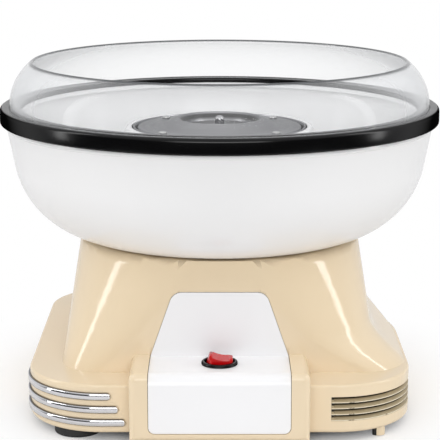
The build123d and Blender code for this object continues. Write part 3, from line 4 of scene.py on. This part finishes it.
import bpy
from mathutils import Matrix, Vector

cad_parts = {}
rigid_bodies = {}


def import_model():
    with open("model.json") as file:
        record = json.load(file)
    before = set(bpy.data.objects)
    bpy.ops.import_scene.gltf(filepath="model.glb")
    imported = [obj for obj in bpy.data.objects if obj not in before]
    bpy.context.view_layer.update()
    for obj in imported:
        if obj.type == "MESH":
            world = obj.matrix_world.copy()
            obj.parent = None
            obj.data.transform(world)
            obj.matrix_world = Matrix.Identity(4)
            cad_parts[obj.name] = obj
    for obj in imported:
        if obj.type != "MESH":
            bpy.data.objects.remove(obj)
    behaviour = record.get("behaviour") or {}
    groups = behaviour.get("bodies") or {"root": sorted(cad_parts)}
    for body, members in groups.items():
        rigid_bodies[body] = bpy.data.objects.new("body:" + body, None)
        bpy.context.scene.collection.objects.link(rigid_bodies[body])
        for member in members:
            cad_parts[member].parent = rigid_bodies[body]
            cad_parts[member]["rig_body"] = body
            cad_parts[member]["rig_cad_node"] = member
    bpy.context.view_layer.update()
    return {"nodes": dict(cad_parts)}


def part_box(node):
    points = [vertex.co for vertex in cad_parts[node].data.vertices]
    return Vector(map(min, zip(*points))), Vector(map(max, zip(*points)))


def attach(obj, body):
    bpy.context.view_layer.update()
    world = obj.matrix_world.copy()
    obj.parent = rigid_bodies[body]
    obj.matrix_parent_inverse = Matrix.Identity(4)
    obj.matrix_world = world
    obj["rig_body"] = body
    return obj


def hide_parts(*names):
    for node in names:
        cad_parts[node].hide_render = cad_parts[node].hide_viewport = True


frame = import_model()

bpy.ops.object.select_all(action="DESELECT")


# Base housing. One cream moulding: a plinth, a pedestal that flares out on the right, the switch
# box at the front and the turret under the heater. It is polished, with the faint orange peel and
# slow tone changes of thick moulded plastic.
class Wire:
    """A node's output, with Python's arithmetic on it."""

    def __init__(self, recipe, socket):
        self.recipe = recipe
        self.socket = socket

    def __add__(self, other):
        return self.recipe.maths("ADD", self, other)

    def __sub__(self, other):
        return self.recipe.maths("SUBTRACT", self, other)

    def __rsub__(self, other):
        return self.recipe.maths("SUBTRACT", other, self)

    def __mul__(self, other):
        return self.recipe.maths("MULTIPLY", self, other)

    __radd__ = __add__
    __rmul__ = __mul__


class Recipe:
    """A node tree, and the one way in which its nodes are made and joined."""

    def __init__(self, tree):
        self.tree = tree

    def join(self, value, socket):
        if isinstance(value, Wire):
            self.tree.links.new(value.socket, socket)
        else:
            socket.default_value = value

    def node(self, kind, settings, values, output=0):
        made = self.tree.nodes.new(kind)
        for name, value in settings.items():
            setattr(made, name, value)
        for name, value in values.items():
            self.join(value, made.inputs[name])
        return Wire(self, made.outputs[output])

    def maths(self, operation, *values):
        return self.node("ShaderNodeMath", {"operation": operation}, dict(enumerate(values)))

    def along(self, vector, letter):
        """One of a vector's three numbers."""
        return self.node("ShaderNodeSeparateXYZ", {}, {0: vector}, letter)

    def ease(self, value, start, end):
        """0 before start and 1 after end, with a soft change between."""
        settings = {"interpolation_type": "SMOOTHSTEP"}
        return self.node("ShaderNodeMapRange", settings, {0: value, 1: start, 2: end})

    def blend(self, factor, first, second):
        """A colour between two, each a wire or three numbers."""
        colours = [c if isinstance(c, Wire) else (*c, 1.0) for c in (first, second)]
        values = {0: factor, 6: colours[0], 7: colours[1]}
        return self.node("ShaderNodeMix", {"data_type": "RGBA"}, values, 2)


class Finish(Recipe):
    """A surface finish: one material round a Principled shader."""

    def __init__(self, name, **sockets):
        self.material = bpy.data.materials.new(name)
        self.material.use_nodes = True
        super().__init__(self.material.node_tree)
        self.shader = self.tree.nodes["Principled BSDF"]
        self.own = Wire(self, self.shader.outputs[0])
        for socket, value in sockets.items():
            self.set(socket.replace("_", " "), value)

    def set(self, socket, value):
        self.join(value, self.shader.inputs[socket])

    def place(self):
        """Where a point lies on the piece."""
        return self.node("ShaderNodeTexCoord", {}, {}, "Object")

    def axis(self, letter):
        return self.along(self.place(), letter)

    def from_axis(self):
        """How far a point lies from the upright line through the machine's middle."""
        values = {0: self.place(), 1: (1.0, 1.0, 0.0)}
        level = self.node("ShaderNodeVectorMath", {"operation": "MULTIPLY"}, values)
        return self.node("ShaderNodeVectorMath", {"operation": "LENGTH"}, {0: level}, "Value")

    def edge_on(self):
        """0 where a face is seen from straight ahead, 1 where it is seen along."""
        return self.node("ShaderNodeLayerWeight", {}, {"Blend": 0.5}, "Facing")

    def noise(self, size, detail=2.0, place=None):
        """Cloudy noise from 0 to 1 with blobs of about that size in metres."""
        values = {"Vector": place or self.place(), "Scale": 1.0 / size, "Detail": detail}
        return self.node("ShaderNodeTexNoise", {}, values, "Fac")

    def tones(self, mask, first, second):
        """Base colours that pass from one to the other over a mask."""
        self.set("Base Color", self.blend(mask, first, second))

    def gloss(self, mask, polished, spread):
        """Roughness that goes up from polished by spread over a mask."""
        self.set("Roughness", mask * spread + polished)

    def bump(self, height, strength, depth):
        values = {"Height": height, "Strength": strength, "Distance": depth}
        self.set("Normal", self.node("ShaderNodeBump", {}, values))

    def cover(self, factor, first, second):
        """Two shaders mixed by a factor make the surface that is seen."""
        mix = self.node("ShaderNodeMixShader", {}, {0: factor, 1: first, 2: second})
        self.join(mix, self.tree.nodes["Material Output"].inputs[0])


def moulded(name, colour, shade, roughness, peel, **sockets):
    """Polished moulded plastic: two close tones, uneven gloss and a little orange peel."""
    gloss_spread = 0.06
    finish = Finish(name, **sockets)
    finish.tones(finish.noise(0.06), shade, colour)
    finish.gloss(finish.noise(0.012, 4.0), roughness - gloss_spread / 2, gloss_spread)
    finish.bump(finish.noise(0.0016, 1.0), peel, 0.00004)
    return finish


def fitted(piece, body, slot, *nodes):
    """Fixes a finished piece to the part of the machine that carries it."""
    bpy.ops.object.select_all(action="DESELECT")
    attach(piece, body)
    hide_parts(*nodes)


def softened(piece, width, corner, segments):
    """Rounds every edge that is sharper than the corner angle."""
    bpy.ops.object.modifier_add(type="BEVEL")
    bevel = piece.modifiers[-1]
    bevel.limit_method = "ANGLE"
    bevel.angle_limit = math.radians(corner)
    bevel.width = width
    bevel.segments = segments
    bpy.ops.object.modifier_apply(modifier=bevel.name)


def whole(node, name, body, slot, finish, smooth=30, rounding=0.0):
    """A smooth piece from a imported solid: its loose triangles joined, its edges kept crisp."""
    bpy.ops.object.select_all(action="DESELECT")
    source = frame["nodes"][node]
    source.select_set(True)
    bpy.context.view_layer.objects.active = source
    bpy.ops.object.duplicate()
    piece = bpy.context.view_layer.objects.active
    piece.name = name
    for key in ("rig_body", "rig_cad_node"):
        del piece[key]
    bpy.ops.object.parent_clear(type="CLEAR_KEEP_TRANSFORM")
    piece.data.materials.clear()
    piece.data.materials.append(finish.material)
    bpy.ops.object.mode_set(mode="EDIT")
    bpy.ops.mesh.select_all(action="SELECT")
    bpy.ops.mesh.remove_doubles(threshold=0.000002)
    if rounding:
        bpy.ops.mesh.dissolve_limited(angle_limit=math.radians(0.5))
    bpy.ops.object.mode_set(mode="OBJECT")
    if rounding:
        softened(piece, rounding, corner=50, segments=5)
    bpy.ops.object.shade_smooth_by_angle(angle=math.radians(smooth))
    bpy.ops.object.modifier_add(type="WEIGHTED_NORMAL")
    piece.modifiers[-1].keep_sharp = True
    bpy.ops.object.modifier_apply(modifier=piece.modifiers[-1].name)
    fitted(piece, body, slot, node)


cream = moulded("cream_plastic", (0.82, 0.68, 0.48), (0.79, 0.645, 0.445), 0.12, 0.1)
whole("base_housing", "housing_shell", "base", "cream_plastic", cream, smooth=12)

# Front panel. A white plate bent over the switch box, so it covers the box's front, its shelf and
# the lower part of the pedestal. It lies in a recess with a thin dark joint all round.
panel_white = moulded("panel_white", (0.90, 0.90, 0.91), (0.88, 0.88, 0.89), 0.22, 0.1,
                      Specular_IOR_Level=0.3)
whole("front_panel", "bent_front_panel", "base", "panel_white", panel_white, smooth=9)

# Trim strips. Three bright strips wrap round the left front corner, each with a half-round end and
# rounded edges, pressed into its own groove in the plinth. Their colour darkens towards both edges,
# a painted dark reflection on the rounded edges.
chrome = Finish("chrome", Metallic=1.0)
chrome.gloss(chrome.noise(0.004, 3.0), 0.06, 0.06)
strip_place = chrome.node("ShaderNodeTexCoord", {}, {}, "Generated")
from_middle = chrome.along(strip_place, "Z") - 0.5
crown = from_middle * from_middle
chrome.bump(crown * -0.0035, 1.0, 1.0)
# Painted dark reflection: each strip's colour goes dark towards both of its edges.
chrome.tones(chrome.ease(crown, 0.15, 0.23), (0.72, 0.72, 0.74), (0.16, 0.16, 0.17))
for level in ("upper", "middle", "lower"):
    strip = level + "_trim_strip"
    whole("chrome_strip_" + level, strip, "base", "chrome", chrome, rounding=0.00095)

# Louvres. The air outlet in the right front corner is an insert of sloping slats in an olive beige
# plastic, moulded matt. Each slat has a painted highlight along its lower edge and painted shade,
# nearly black, at its back, where the slat above hides it.
louvre_beige = moulded("vent_plastic", (0.54, 0.44, 0.26), (0.50, 0.40, 0.23), 0.42, 0.3,
                       Specular_IOR_Level=0.3)
slat_count = 4.0
vent_low, vent_high = (corner[2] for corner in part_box("vent_grille"))
slats_up = (louvre_beige.axis("Z") - vent_low) * (slat_count / (vent_high - vent_low))
up_slat = louvre_beige.maths("FRACT", slats_up)
slat_face = louvre_beige.blend(louvre_beige.noise(0.06), (0.34, 0.27, 0.16), (0.42, 0.34, 0.21))
# Painted highlight along each slat's lower edge and painted shade, nearly black, at each slat's
# back.
painted_edge_highlight = louvre_beige.ease(up_slat, 0.2, 0.05)
painted_slat_shade = louvre_beige.ease(up_slat, 0.5, 0.68)
slat_with_painted_highlight = louvre_beige.blend(painted_edge_highlight, slat_face, (0.86, 0.78, 0.60))
louvre_beige.tones(painted_slat_shade, slat_with_painted_highlight, (0.02, 0.015, 0.008))
whole("vent_grille", "louvre_insert", "base", "vent_plastic", louvre_beige, smooth=18)

# Feet. Three black rubber discs screwed to the bottom cover, and at the right front a short cream
# half sleeve round a rubber plug. The cord's bush in the rear wall is the same rubber.
rubber = moulded("rubber_black", (0.012, 0.012, 0.012), (0.02, 0.02, 0.02), 0.6, 0.5)
for corner in ("front_left", "rear_left", "rear_right"):
    whole(corner + "_foot", corner + "_rubber_disc", "base", "rubber_black", rubber)
whole("foot_plug", "post_plug", "base", "rubber_black", rubber)
whole("foot_sleeve", "post_sleeve", "base", "cream_plastic", cream)
whole("cord_gland", "cord_bush", "base", "rubber_black", rubber)

# Bottom cover. A flat black plate with air slots, held by six screws; the feet are screwed to it.
# The white terminal block for the cord stands on its inside.
black_plastic = moulded("black_plastic", (0.03, 0.03, 0.032), (0.045, 0.045, 0.045), 0.5, 0.6)
whole("bottom_cover", "bottom_plate", "base", "black_plastic", black_plastic)
plated = Finish("plated_steel", Metallic=1.0)
plated.tones(plated.noise(0.003), (0.5, 0.5, 0.5), (0.62, 0.62, 0.61))
plated.gloss(plated.noise(0.0008, 3.0), 0.22, 0.2)
whole("cover_screws", "bottom_plate_screws", "base", "plated_steel", plated)
whole("foot_screws", "foot_disc_screws", "base", "plated_steel", plated)


def dressed(finish, *nodes):
    """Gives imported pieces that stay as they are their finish."""
    for node in nodes:
        piece = frame["nodes"][node]
        piece.data.materials.clear()
        piece.data.materials.append(finish.material)


bowl_white = moulded("white_plastic", (0.91, 0.91, 0.91), (0.90, 0.90, 0.90), 0.2, 0.1)
dressed(bowl_white, "terminal_block")

# Rocker switch. A snap-in switch with a glossy black flange and a red rocker that lies tilted, its
# left end up, on a steel pin. Two brass blades stand out below it. The black gloss is the rim
# ring's too: its upright faces turn matt black where they are seen edge-on.
black_gloss = moulded("black_gloss", (0.001, 0.001, 0.0015), (0.003, 0.003, 0.003), 0.2, 0.05,
                      Specular_IOR_Level=0.25)
rocker_red = moulded("red_plastic", (0.60, 0.004, 0.006), (0.52, 0.003, 0.005), 0.16, 0.08,
                     Specular_IOR_Level=0.2)
surface_turn = black_gloss.node("ShaderNodeNewGeometry", {}, {}, "Normal")
levelness = black_gloss.maths("ABSOLUTE", black_gloss.along(surface_turn, "Z"))
upright = black_gloss.ease(levelness, 0.97, 0.8)
matt_black = black_gloss.node("ShaderNodeBsdfDiffuse", {}, {0: (0.002, 0.002, 0.002, 1.0)})
matt_share = upright * black_gloss.ease(black_gloss.edge_on(), 0.35, 0.75)
black_gloss.cover(matt_share, black_gloss.own, matt_black)
whole("switch_body", "switch_bezel", "base", "black_gloss", black_gloss)
whole("switch_rocker", "red_rocker", "rocker", "red_plastic", rocker_red)
bare_steel = Finish("steel", Metallic=1.0)
bare_steel.tones(bare_steel.noise(0.01), (0.34, 0.34, 0.35), (0.47, 0.47, 0.48))
bare_steel.gloss(bare_steel.noise(0.0015, 4.0), 0.25, 0.25)
brass = Finish("brass", Metallic=1.0)
brass.tones(brass.noise(0.004), (0.52, 0.35, 0.13), (0.68, 0.50, 0.21))
brass.gloss(brass.noise(0.001, 3.0), 0.2, 0.2)
dressed(bare_steel, "switch_pin")
dressed(brass, "switch_terminals")

# Motor. A steel can hung from the turret on a three-armed plate and standoffs. It holds two ferrite
# magnets, and a brown card under its cap carries the brushes. Over it lies a steel heat shield with
# a round thermal cut-out pressed against its underside.
ferrite = moulded("ferrite", (0.05, 0.05, 0.055), (0.075, 0.075, 0.08), 0.6, 0.8)
fibre_card = Finish("card", Roughness=0.7)
fibre_card.tones(fibre_card.noise(0.0012, 4.0), (0.24, 0.11, 0.04), (0.36, 0.19, 0.08))
fibre_card.bump(fibre_card.noise(0.0006, 3.0), 0.3, 0.00003)
dressed(plated, "motor_standoffs", "plate_screws", "motor_screws")
dressed(bare_steel, "motor_plate", "motor_can", "heat_shield")
dressed(black_plastic, "motor_end_cap")
dressed(ferrite, "motor_magnets")
dressed(fibre_card, "brush_card", "thermal_cutout")
dressed(brass, "motor_brushes")

# Spindle. A ground shaft runs in two ball bearings and carries the slotted rotor with its copper
# windings, the commutator and, below the motor, the fan. A cross pin drives the head.
ground_steel = Finish("ground_steel", Metallic=1.0)
ground_steel.tones(ground_steel.noise(0.004), (0.46, 0.46, 0.47), (0.56, 0.56, 0.57))
ground_steel.gloss(ground_steel.noise(0.0006, 2.0), 0.14, 0.14)
copper = Finish("copper", Roughness=0.3, Metallic=1.0)
wave_values = {"Vector": copper.place(), "Scale": 260.0}
wire_turns = copper.node("ShaderNodeTexWave", {"bands_direction": "Z"}, wave_values)
copper.tones(wire_turns, (0.42, 0.14, 0.06), (0.62, 0.25, 0.12))
copper.bump(wire_turns, 0.4, 0.0001)
whole("motor_shaft", "spindle_rod", "spindle", "ground_steel", ground_steel)
whole("drive_pin", "head_drive_pin", "spindle", "ground_steel", ground_steel)
dressed(ground_steel, "upper_bearing", "lower_bearing")
dressed(bare_steel, "rotor_core")
dressed(copper, "rotor_windings", "commutator")
dressed(black_plastic, "cooling_fan")

# Heater pan. Pressed aluminium, with the bright collar that shows round the sugar head. Fine lathe
# lines run round it, and a painted sheen makes it paler to the front and rear, with painted shade
# to the left and right. Inside it a dull tubular element stands on ceramic saddles, its ends in
# ceramic bushes.
spun = Finish("spun_aluminium", Metallic=1.0)
from_middle_line = spun.from_axis()
ring_place = spun.node("ShaderNodeCombineXYZ", {}, {0: from_middle_line, 1: spun.axis("Z")})
lathe_lines = spun.noise(0.0007, 3.0, ring_place)
spun.gloss(lathe_lines, 0.24, 0.18)
spun.bump(lathe_lines, 0.25, 0.00006)
# Painted sheen: pale to the front and rear of the axis, painted shade to the left and right.
to_the_rear = spun.maths("DIVIDE", spun.axis("Y"), from_middle_line)
pale_metal = spun.blend(spun.noise(0.02), (0.36, 0.36, 0.37), (0.46, 0.46, 0.47))
painted_sheen_tone = spun.blend(to_the_rear * to_the_rear, (0.20, 0.20, 0.21), pale_metal)


def arc(centre, radius, start, end, steps):
    """Points of a profile along an arc, its angles in degrees."""
    angles = [math.radians(start + (end - start) * step / steps) for step in range(steps + 1)]
    return [(centre[0] + radius * math.cos(a), centre[1] + radius * math.sin(a)) for a in angles]


def turned(name, profile, finish, rounding):
    """A round piece drawn up ring by ring along a closed profile of (radius, height)."""
    sides = 180
    radius, height = profile[0]
    bpy.ops.object.select_all(action="DESELECT")
    bpy.ops.mesh.primitive_circle_add(vertices=sides, radius=radius)
    piece = bpy.context.object
    piece.name = name
    piece.data.materials.append(finish.material)
    bpy.ops.object.mode_set(mode="EDIT")
    bpy.ops.mesh.select_all(action="SELECT")
    bpy.ops.transform.translate(value=(0, 0, height))
    for wide, high in profile[1:] + profile[:1]:
        grow = wide / radius
        bpy.ops.mesh.extrude_region_move()
        bpy.ops.transform.translate(value=(0, 0, high - height))
        bpy.ops.transform.resize(value=(grow, grow, 1), center_override=(0, 0, high))
        radius, height = wide, high
    bpy.ops.mesh.select_all(action="SELECT")
    bpy.ops.mesh.remove_doubles(threshold=0.00001)
    bpy.ops.mesh.normals_make_consistent(inside=False)
    bpy.ops.object.mode_set(mode="OBJECT")
    if rounding:
        softened(piece, rounding, corner=32, segments=3)
    bpy.ops.object.shade_smooth_by_angle(angle=math.radians(40))
    return piece


dish_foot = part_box("heater_pan")[0][2]
collar_edge, _, collar_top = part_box("heater_pan")[1]
dish_hole = 0.010
dish_sheet = 0.0012
dish_side = collar_edge - 0.0007
dish_inside = dish_side - dish_sheet
dish_floor = dish_foot + dish_sheet
dish_profile = [
    (dish_hole, dish_foot),
    (dish_side, dish_foot),
    (dish_side, collar_top - 0.0024),
    (collar_edge, collar_top - 0.0014),
    (collar_edge, collar_top - 0.0004),
    (collar_edge - 0.001, collar_top),
    (dish_side - 0.0006, collar_top - 0.0008),
    (dish_inside, collar_top - 0.0018),
    (dish_inside, dish_floor),
    (dish_hole, dish_floor),
]
heater_dish = turned("heater_dish", dish_profile, spun, rounding=0.00025)
fitted(heater_dish, "base", "spun_aluminium", "heater_pan")
element = moulded("element", (0.10, 0.095, 0.09), (0.16, 0.15, 0.14), 0.5, 0.6, Metallic=0.8)
ceramic = moulded("ceramic", (0.78, 0.74, 0.66), (0.72, 0.68, 0.60), 0.75, 0.8)
whole("heater_ring", "heating_element", "base", "element", element)
whole("heater_insulators", "element_saddles", "base", "ceramic", ceramic)
whole("lead_bushes", "element_bushes", "base", "ceramic", ceramic)
whole("pan_screws", "dish_screws", "base", "plated_steel", plated)

# Sugar head. Two spun aluminium plates with a slotted screen between them; a crater rises in the
# middle of the top plate round the well that takes the sugar. The upper part of the well's wall is
# painted near black as painted shade.
brim_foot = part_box("head_top")[0][2]
brim_edge, _, crater_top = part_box("head_top")[1]
brim_top = brim_foot + 0.0015
crater_foot = brim_edge - 0.0155
crater_lip = crater_foot - 0.0105
crater_under = crater_top - 0.0015
well_lip = crater_lip - 0.003
well_foot = well_lip - 0.0038
well_bottom = brim_top - 0.0001
cover_profile = [
    (well_foot, well_bottom),
    (well_lip, crater_top - 0.0008),
    (well_lip + 0.0008, crater_top),
    (crater_lip, crater_top),
    (crater_foot, brim_top),
    (brim_edge - 0.0008, brim_top),
    (brim_edge, brim_top - 0.0007),
    (brim_edge, brim_foot),
    (crater_foot - 0.0008, brim_foot),
    (crater_lip - 0.0006, crater_under),
    (well_lip + 0.0014, crater_under),
    (well_foot + 0.0016, well_bottom),
]
# Painted shade: the upper part of the well's wall is painted near black.
well_shade_inside = spun.ease(from_middle_line, well_lip + 0.0003, well_lip - 0.0005)
well_shade_height = spun.ease(spun.axis("Z"), brim_top + 0.0001, brim_top + 0.0027)
spun.tones(well_shade_inside * well_shade_height, painted_sheen_tone, (0.10, 0.10, 0.10))
head_cover = turned("head_cover", cover_profile, spun, rounding=0.0005)
fitted(head_cover, "head", "spun_aluminium", "head_top")
whole("head_base", "head_lower_plate", "head", "spun_aluminium", spun)
whole("sugar_screen", "head_screen", "head", "steel", bare_steel)
whole("head_screws", "head_cover_screws", "head", "plated_steel", plated)
dressed(plated, "head_spacers")

# Bowl. White and glossy, one moulding with a round underside, a floor, and a cone up the middle
# that slips over the turret.
bowl_wall = 0.0025
bowl_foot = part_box("bowl")[0][2]
bead, _, bowl_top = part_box("bowl")[1]
bead_top = bowl_top - 0.0075
lip = bead - 0.0008
lip_foot = bowl_top - 0.0107
lip_inside = lip - 0.0098
ledge = bowl_top - 0.0034
wall_inside = lip - bowl_wall
seat = 0.0745
curve_radius = 0.060
curve_steps = 26
curve = (seat + 0.007, bowl_foot + curve_radius)
reach = math.dist(curve, (lip, lip_foot))
to_lip = math.atan2(lip_foot - curve[1], lip - curve[0])
wall_turn = math.degrees(to_lip - math.acos(curve_radius / reach))
fillet = 0.005
hole = 0.0605
hole_top = collar_top - 0.0001
bowl_profile = [(seat, bowl_foot)] + arc(curve, curve_radius, -90, wall_turn, curve_steps)
bowl_profile += [(lip, lip_foot), (bead, lip_foot + 0.0006), (bead, bead_top)]
bowl_profile += [(lip, bead_top), (lip, bowl_top), (lip_inside, bowl_top)]
bowl_profile += [(lip_inside, ledge), (wall_inside, ledge), (wall_inside, lip_foot)]
bowl_profile += arc(curve, curve_radius - bowl_wall, wall_turn, -90, curve_steps)
bowl_profile += arc((curve[0], bowl_foot + bowl_wall + fillet), fillet, -91, -170, 5)
bowl_profile += [(hole + 0.0048, hole_top - 0.0025), (hole + 0.0031, hole_top), (hole, hole_top)]
bowl_profile += [(hole, hole_top - 0.0015), (hole + 0.0023, hole_top - 0.003)]
candy_bowl = turned("candy_bowl", bowl_profile, bowl_white, rounding=0.0004)
fitted(candy_bowl, "bowl_body", "white_plastic", "bowl")

# Rim ring. A glossy black ring that caps the bowl's lip and carries the guard in a groove. Its
# outer top edge is well rounded, its other edges less.
ring_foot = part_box("rim_ring")[0][2]
ring_edge, _, ring_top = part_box("rim_ring")[1]
guard_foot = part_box("splash_guard")[0][2]
guard_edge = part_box("splash_guard")[1][0]
guard_wall = 0.0022
groove_room = 0.0002
groove_inside = guard_edge - guard_wall - groove_room
groove_outside = guard_edge + groove_room
skirt = ring_edge - 0.004
opening = ring_edge - 0.015
top_round = 0.0025
edge_round = 0.0012
foot_round = (ring_edge - edge_round, ring_foot + edge_round)
ring_profile = [(opening, bowl_top), (skirt, bowl_top), (skirt, ring_foot)]
ring_profile += [(foot_round[0], ring_foot)] + arc(foot_round, edge_round, -60, 0, 3)
ring_profile += arc((ring_edge - top_round, ring_top - top_round), top_round, 0, 90, 6)
ring_profile += [(groove_outside, ring_top), (groove_outside, guard_foot)]
ring_profile += [(groove_inside, guard_foot), (groove_inside, ring_top)]
ring_profile += arc((opening + edge_round, ring_top - edge_round), edge_round, 90, 180, 3)
rim_ring = turned("bowl_rim_ring", ring_profile, black_gloss, rounding=0.00015)
fitted(rim_ring, "bowl_body", "black_gloss", "rim_ring")

# Splash guard. A clear moulded wall that curves inwards to a rounded edge, painted as a grey line:
# painted shade for the light that the thick edge bends away. The wall itself only greys where it
# is seen along its length.
guard_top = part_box("splash_guard")[1][2]
clear = Finish("clear_plastic", Roughness=0.04)
# Painted shade: a dark grey band painted round the guard's rounded rim.
painted_rim_line = clear.ease(clear.axis("Z"), guard_top - 0.0024, guard_top - 0.0012)
clear.tones(painted_rim_line, (0.88, 0.89, 0.90), (0.10, 0.105, 0.11))
see_through = clear.node("ShaderNodeBsdfTransparent", {}, {0: (0.99, 0.992, 0.994, 1.0)})
greying = clear.maths("POWER", clear.edge_on(), 1.6) * 0.7 + 0.03
clear.cover(clear.maths("MAXIMUM", greying, painted_rim_line * 0.8), see_through, clear.own)
bend_radius = 0.0375
bend_inside = bend_radius - guard_wall
bend_middle = bend_radius - guard_wall / 2
bend_steps = 18
bend = (guard_edge - bend_radius, ring_top)
room_for_rim = 1.75
bend_end = math.degrees(math.asin((guard_top - ring_top) / bend_radius)) - room_for_rim
rim_centre = arc(bend, bend_middle, bend_end, bend_end, 1)[0]
guard_profile = [(guard_edge, guard_foot)] + arc(bend, bend_radius, 0, bend_end, bend_steps)
guard_profile += arc(rim_centre, guard_wall / 2, bend_end + 30, bend_end + 150, 4)
guard_profile += arc(bend, bend_inside, bend_end, 0, bend_steps)
guard_profile += [(guard_edge - guard_wall, guard_foot)]
clear_guard = turned("clear_guard", guard_profile, clear, rounding=0)
fitted(clear_guard, "guard", "clear_plastic", "splash_guard")

# Floor. White paper that keeps the machine's shadow; away from the machine it turns to plain white
# for the camera.
bpy.ops.mesh.primitive_plane_add(size=1.0, location=(0, 0, 0))
floor = bpy.context.object
floor.name = "studio_floor"
paper = Finish("studio_paper", Roughness=0.9, Specular_IOR_Level=0.0)
floor.data.materials.append(paper.material)
sight = paper.node("ShaderNodeLightPath", {}, {}, "Is Camera Ray")
paper.tones(sight, (0.85, 0.85, 0.85), (1.0, 1.0, 1.0))
far_off = paper.ease(paper.from_axis(), 0.11, 0.24)
plain_white = paper.node("ShaderNodeEmission", {}, {1: 1.0})
paper.cover(sight * far_off, paper.own, plain_white)

# Studio. The camera sees plain white. What the machine reflects is a pale cove behind and above it
# and a dim room in front. A tall lamp at each side makes the streaks on the pedestal, and one broad
# lamp above and a soft one in front light the rest.
world = bpy.data.worlds.new("studio")
bpy.context.scene.world = world
world.use_nodes = True
air = Recipe(world.node_tree)
toward = air.node("ShaderNodeTexCoord", {}, {}, "Generated")
behind = air.ease(air.along(toward, "Y"), -0.2, 0.5)
above = air.ease(air.along(toward, "Z"), 0.15, 0.75)
cove = air.maths("MAXIMUM", behind, above)
room_colour = air.blend(cove, (0.05, 0.05, 0.052), (0.80, 0.80, 0.81))
room = air.node("ShaderNodeBackground", {}, {0: room_colour, 1: 1.0})
backdrop = air.node("ShaderNodeBackground", {}, {0: (1.0, 1.0, 1.0, 1.0), 1: 1.0})
direct = air.node("ShaderNodeLightPath", {}, {}, "Is Camera Ray")
through = air.node("ShaderNodeLightPath", {}, {}, "Is Transmission Ray")
straight = air.maths("MAXIMUM", direct, through)
seen = air.node("ShaderNodeMixShader", {}, {0: straight, 1: room, 2: backdrop})
air.join(seen, world.node_tree.nodes["World Output"].inputs[0])


def lamp(name, place, width, height, power):
    """An oblong soft box that looks at the middle of the machine."""
    bpy.ops.object.light_add(type="AREA", location=place)
    box = bpy.context.object
    box.name = name
    box.data.shape = "RECTANGLE"
    box.data.size = width
    box.data.size_y = height
    box.data.energy = power
    box.rotation_mode = "QUATERNION"
    box.rotation_quaternion = (box.location - Vector((0.0, 0.0, 0.1))).to_track_quat("Z", "Y")


lamp("top_box", (0.0, -0.15, 1.3), width=1.2, height=1.0, power=0.6)
lamp("left_strip", (-1.0, -0.14, 0.5), width=0.13, height=1.1, power=3.2)
lamp("right_strip", (1.0, -0.14, 0.5), width=0.13, height=1.1, power=3.2)
lamp("front_box", (0.0, -1.45, 0.6), width=1.2, height=0.5, power=10.0)

# Camera. A long lens at the photograph's height, looking slightly down into the bowl.
camera_place = (0.0, -1.125, 0.3633)
camera_tilt = (math.radians(77.7188), 0.0, 0.0)
bpy.ops.object.camera_add(location=camera_place, rotation=camera_tilt)
camera = bpy.context.object
camera.data.lens = 135.0
camera.data.sensor_width = 36.0
camera.data.shift_x = 0.0011
bpy.context.scene.camera = camera
bpy.context.scene.view_settings.view_transform = "Standard"
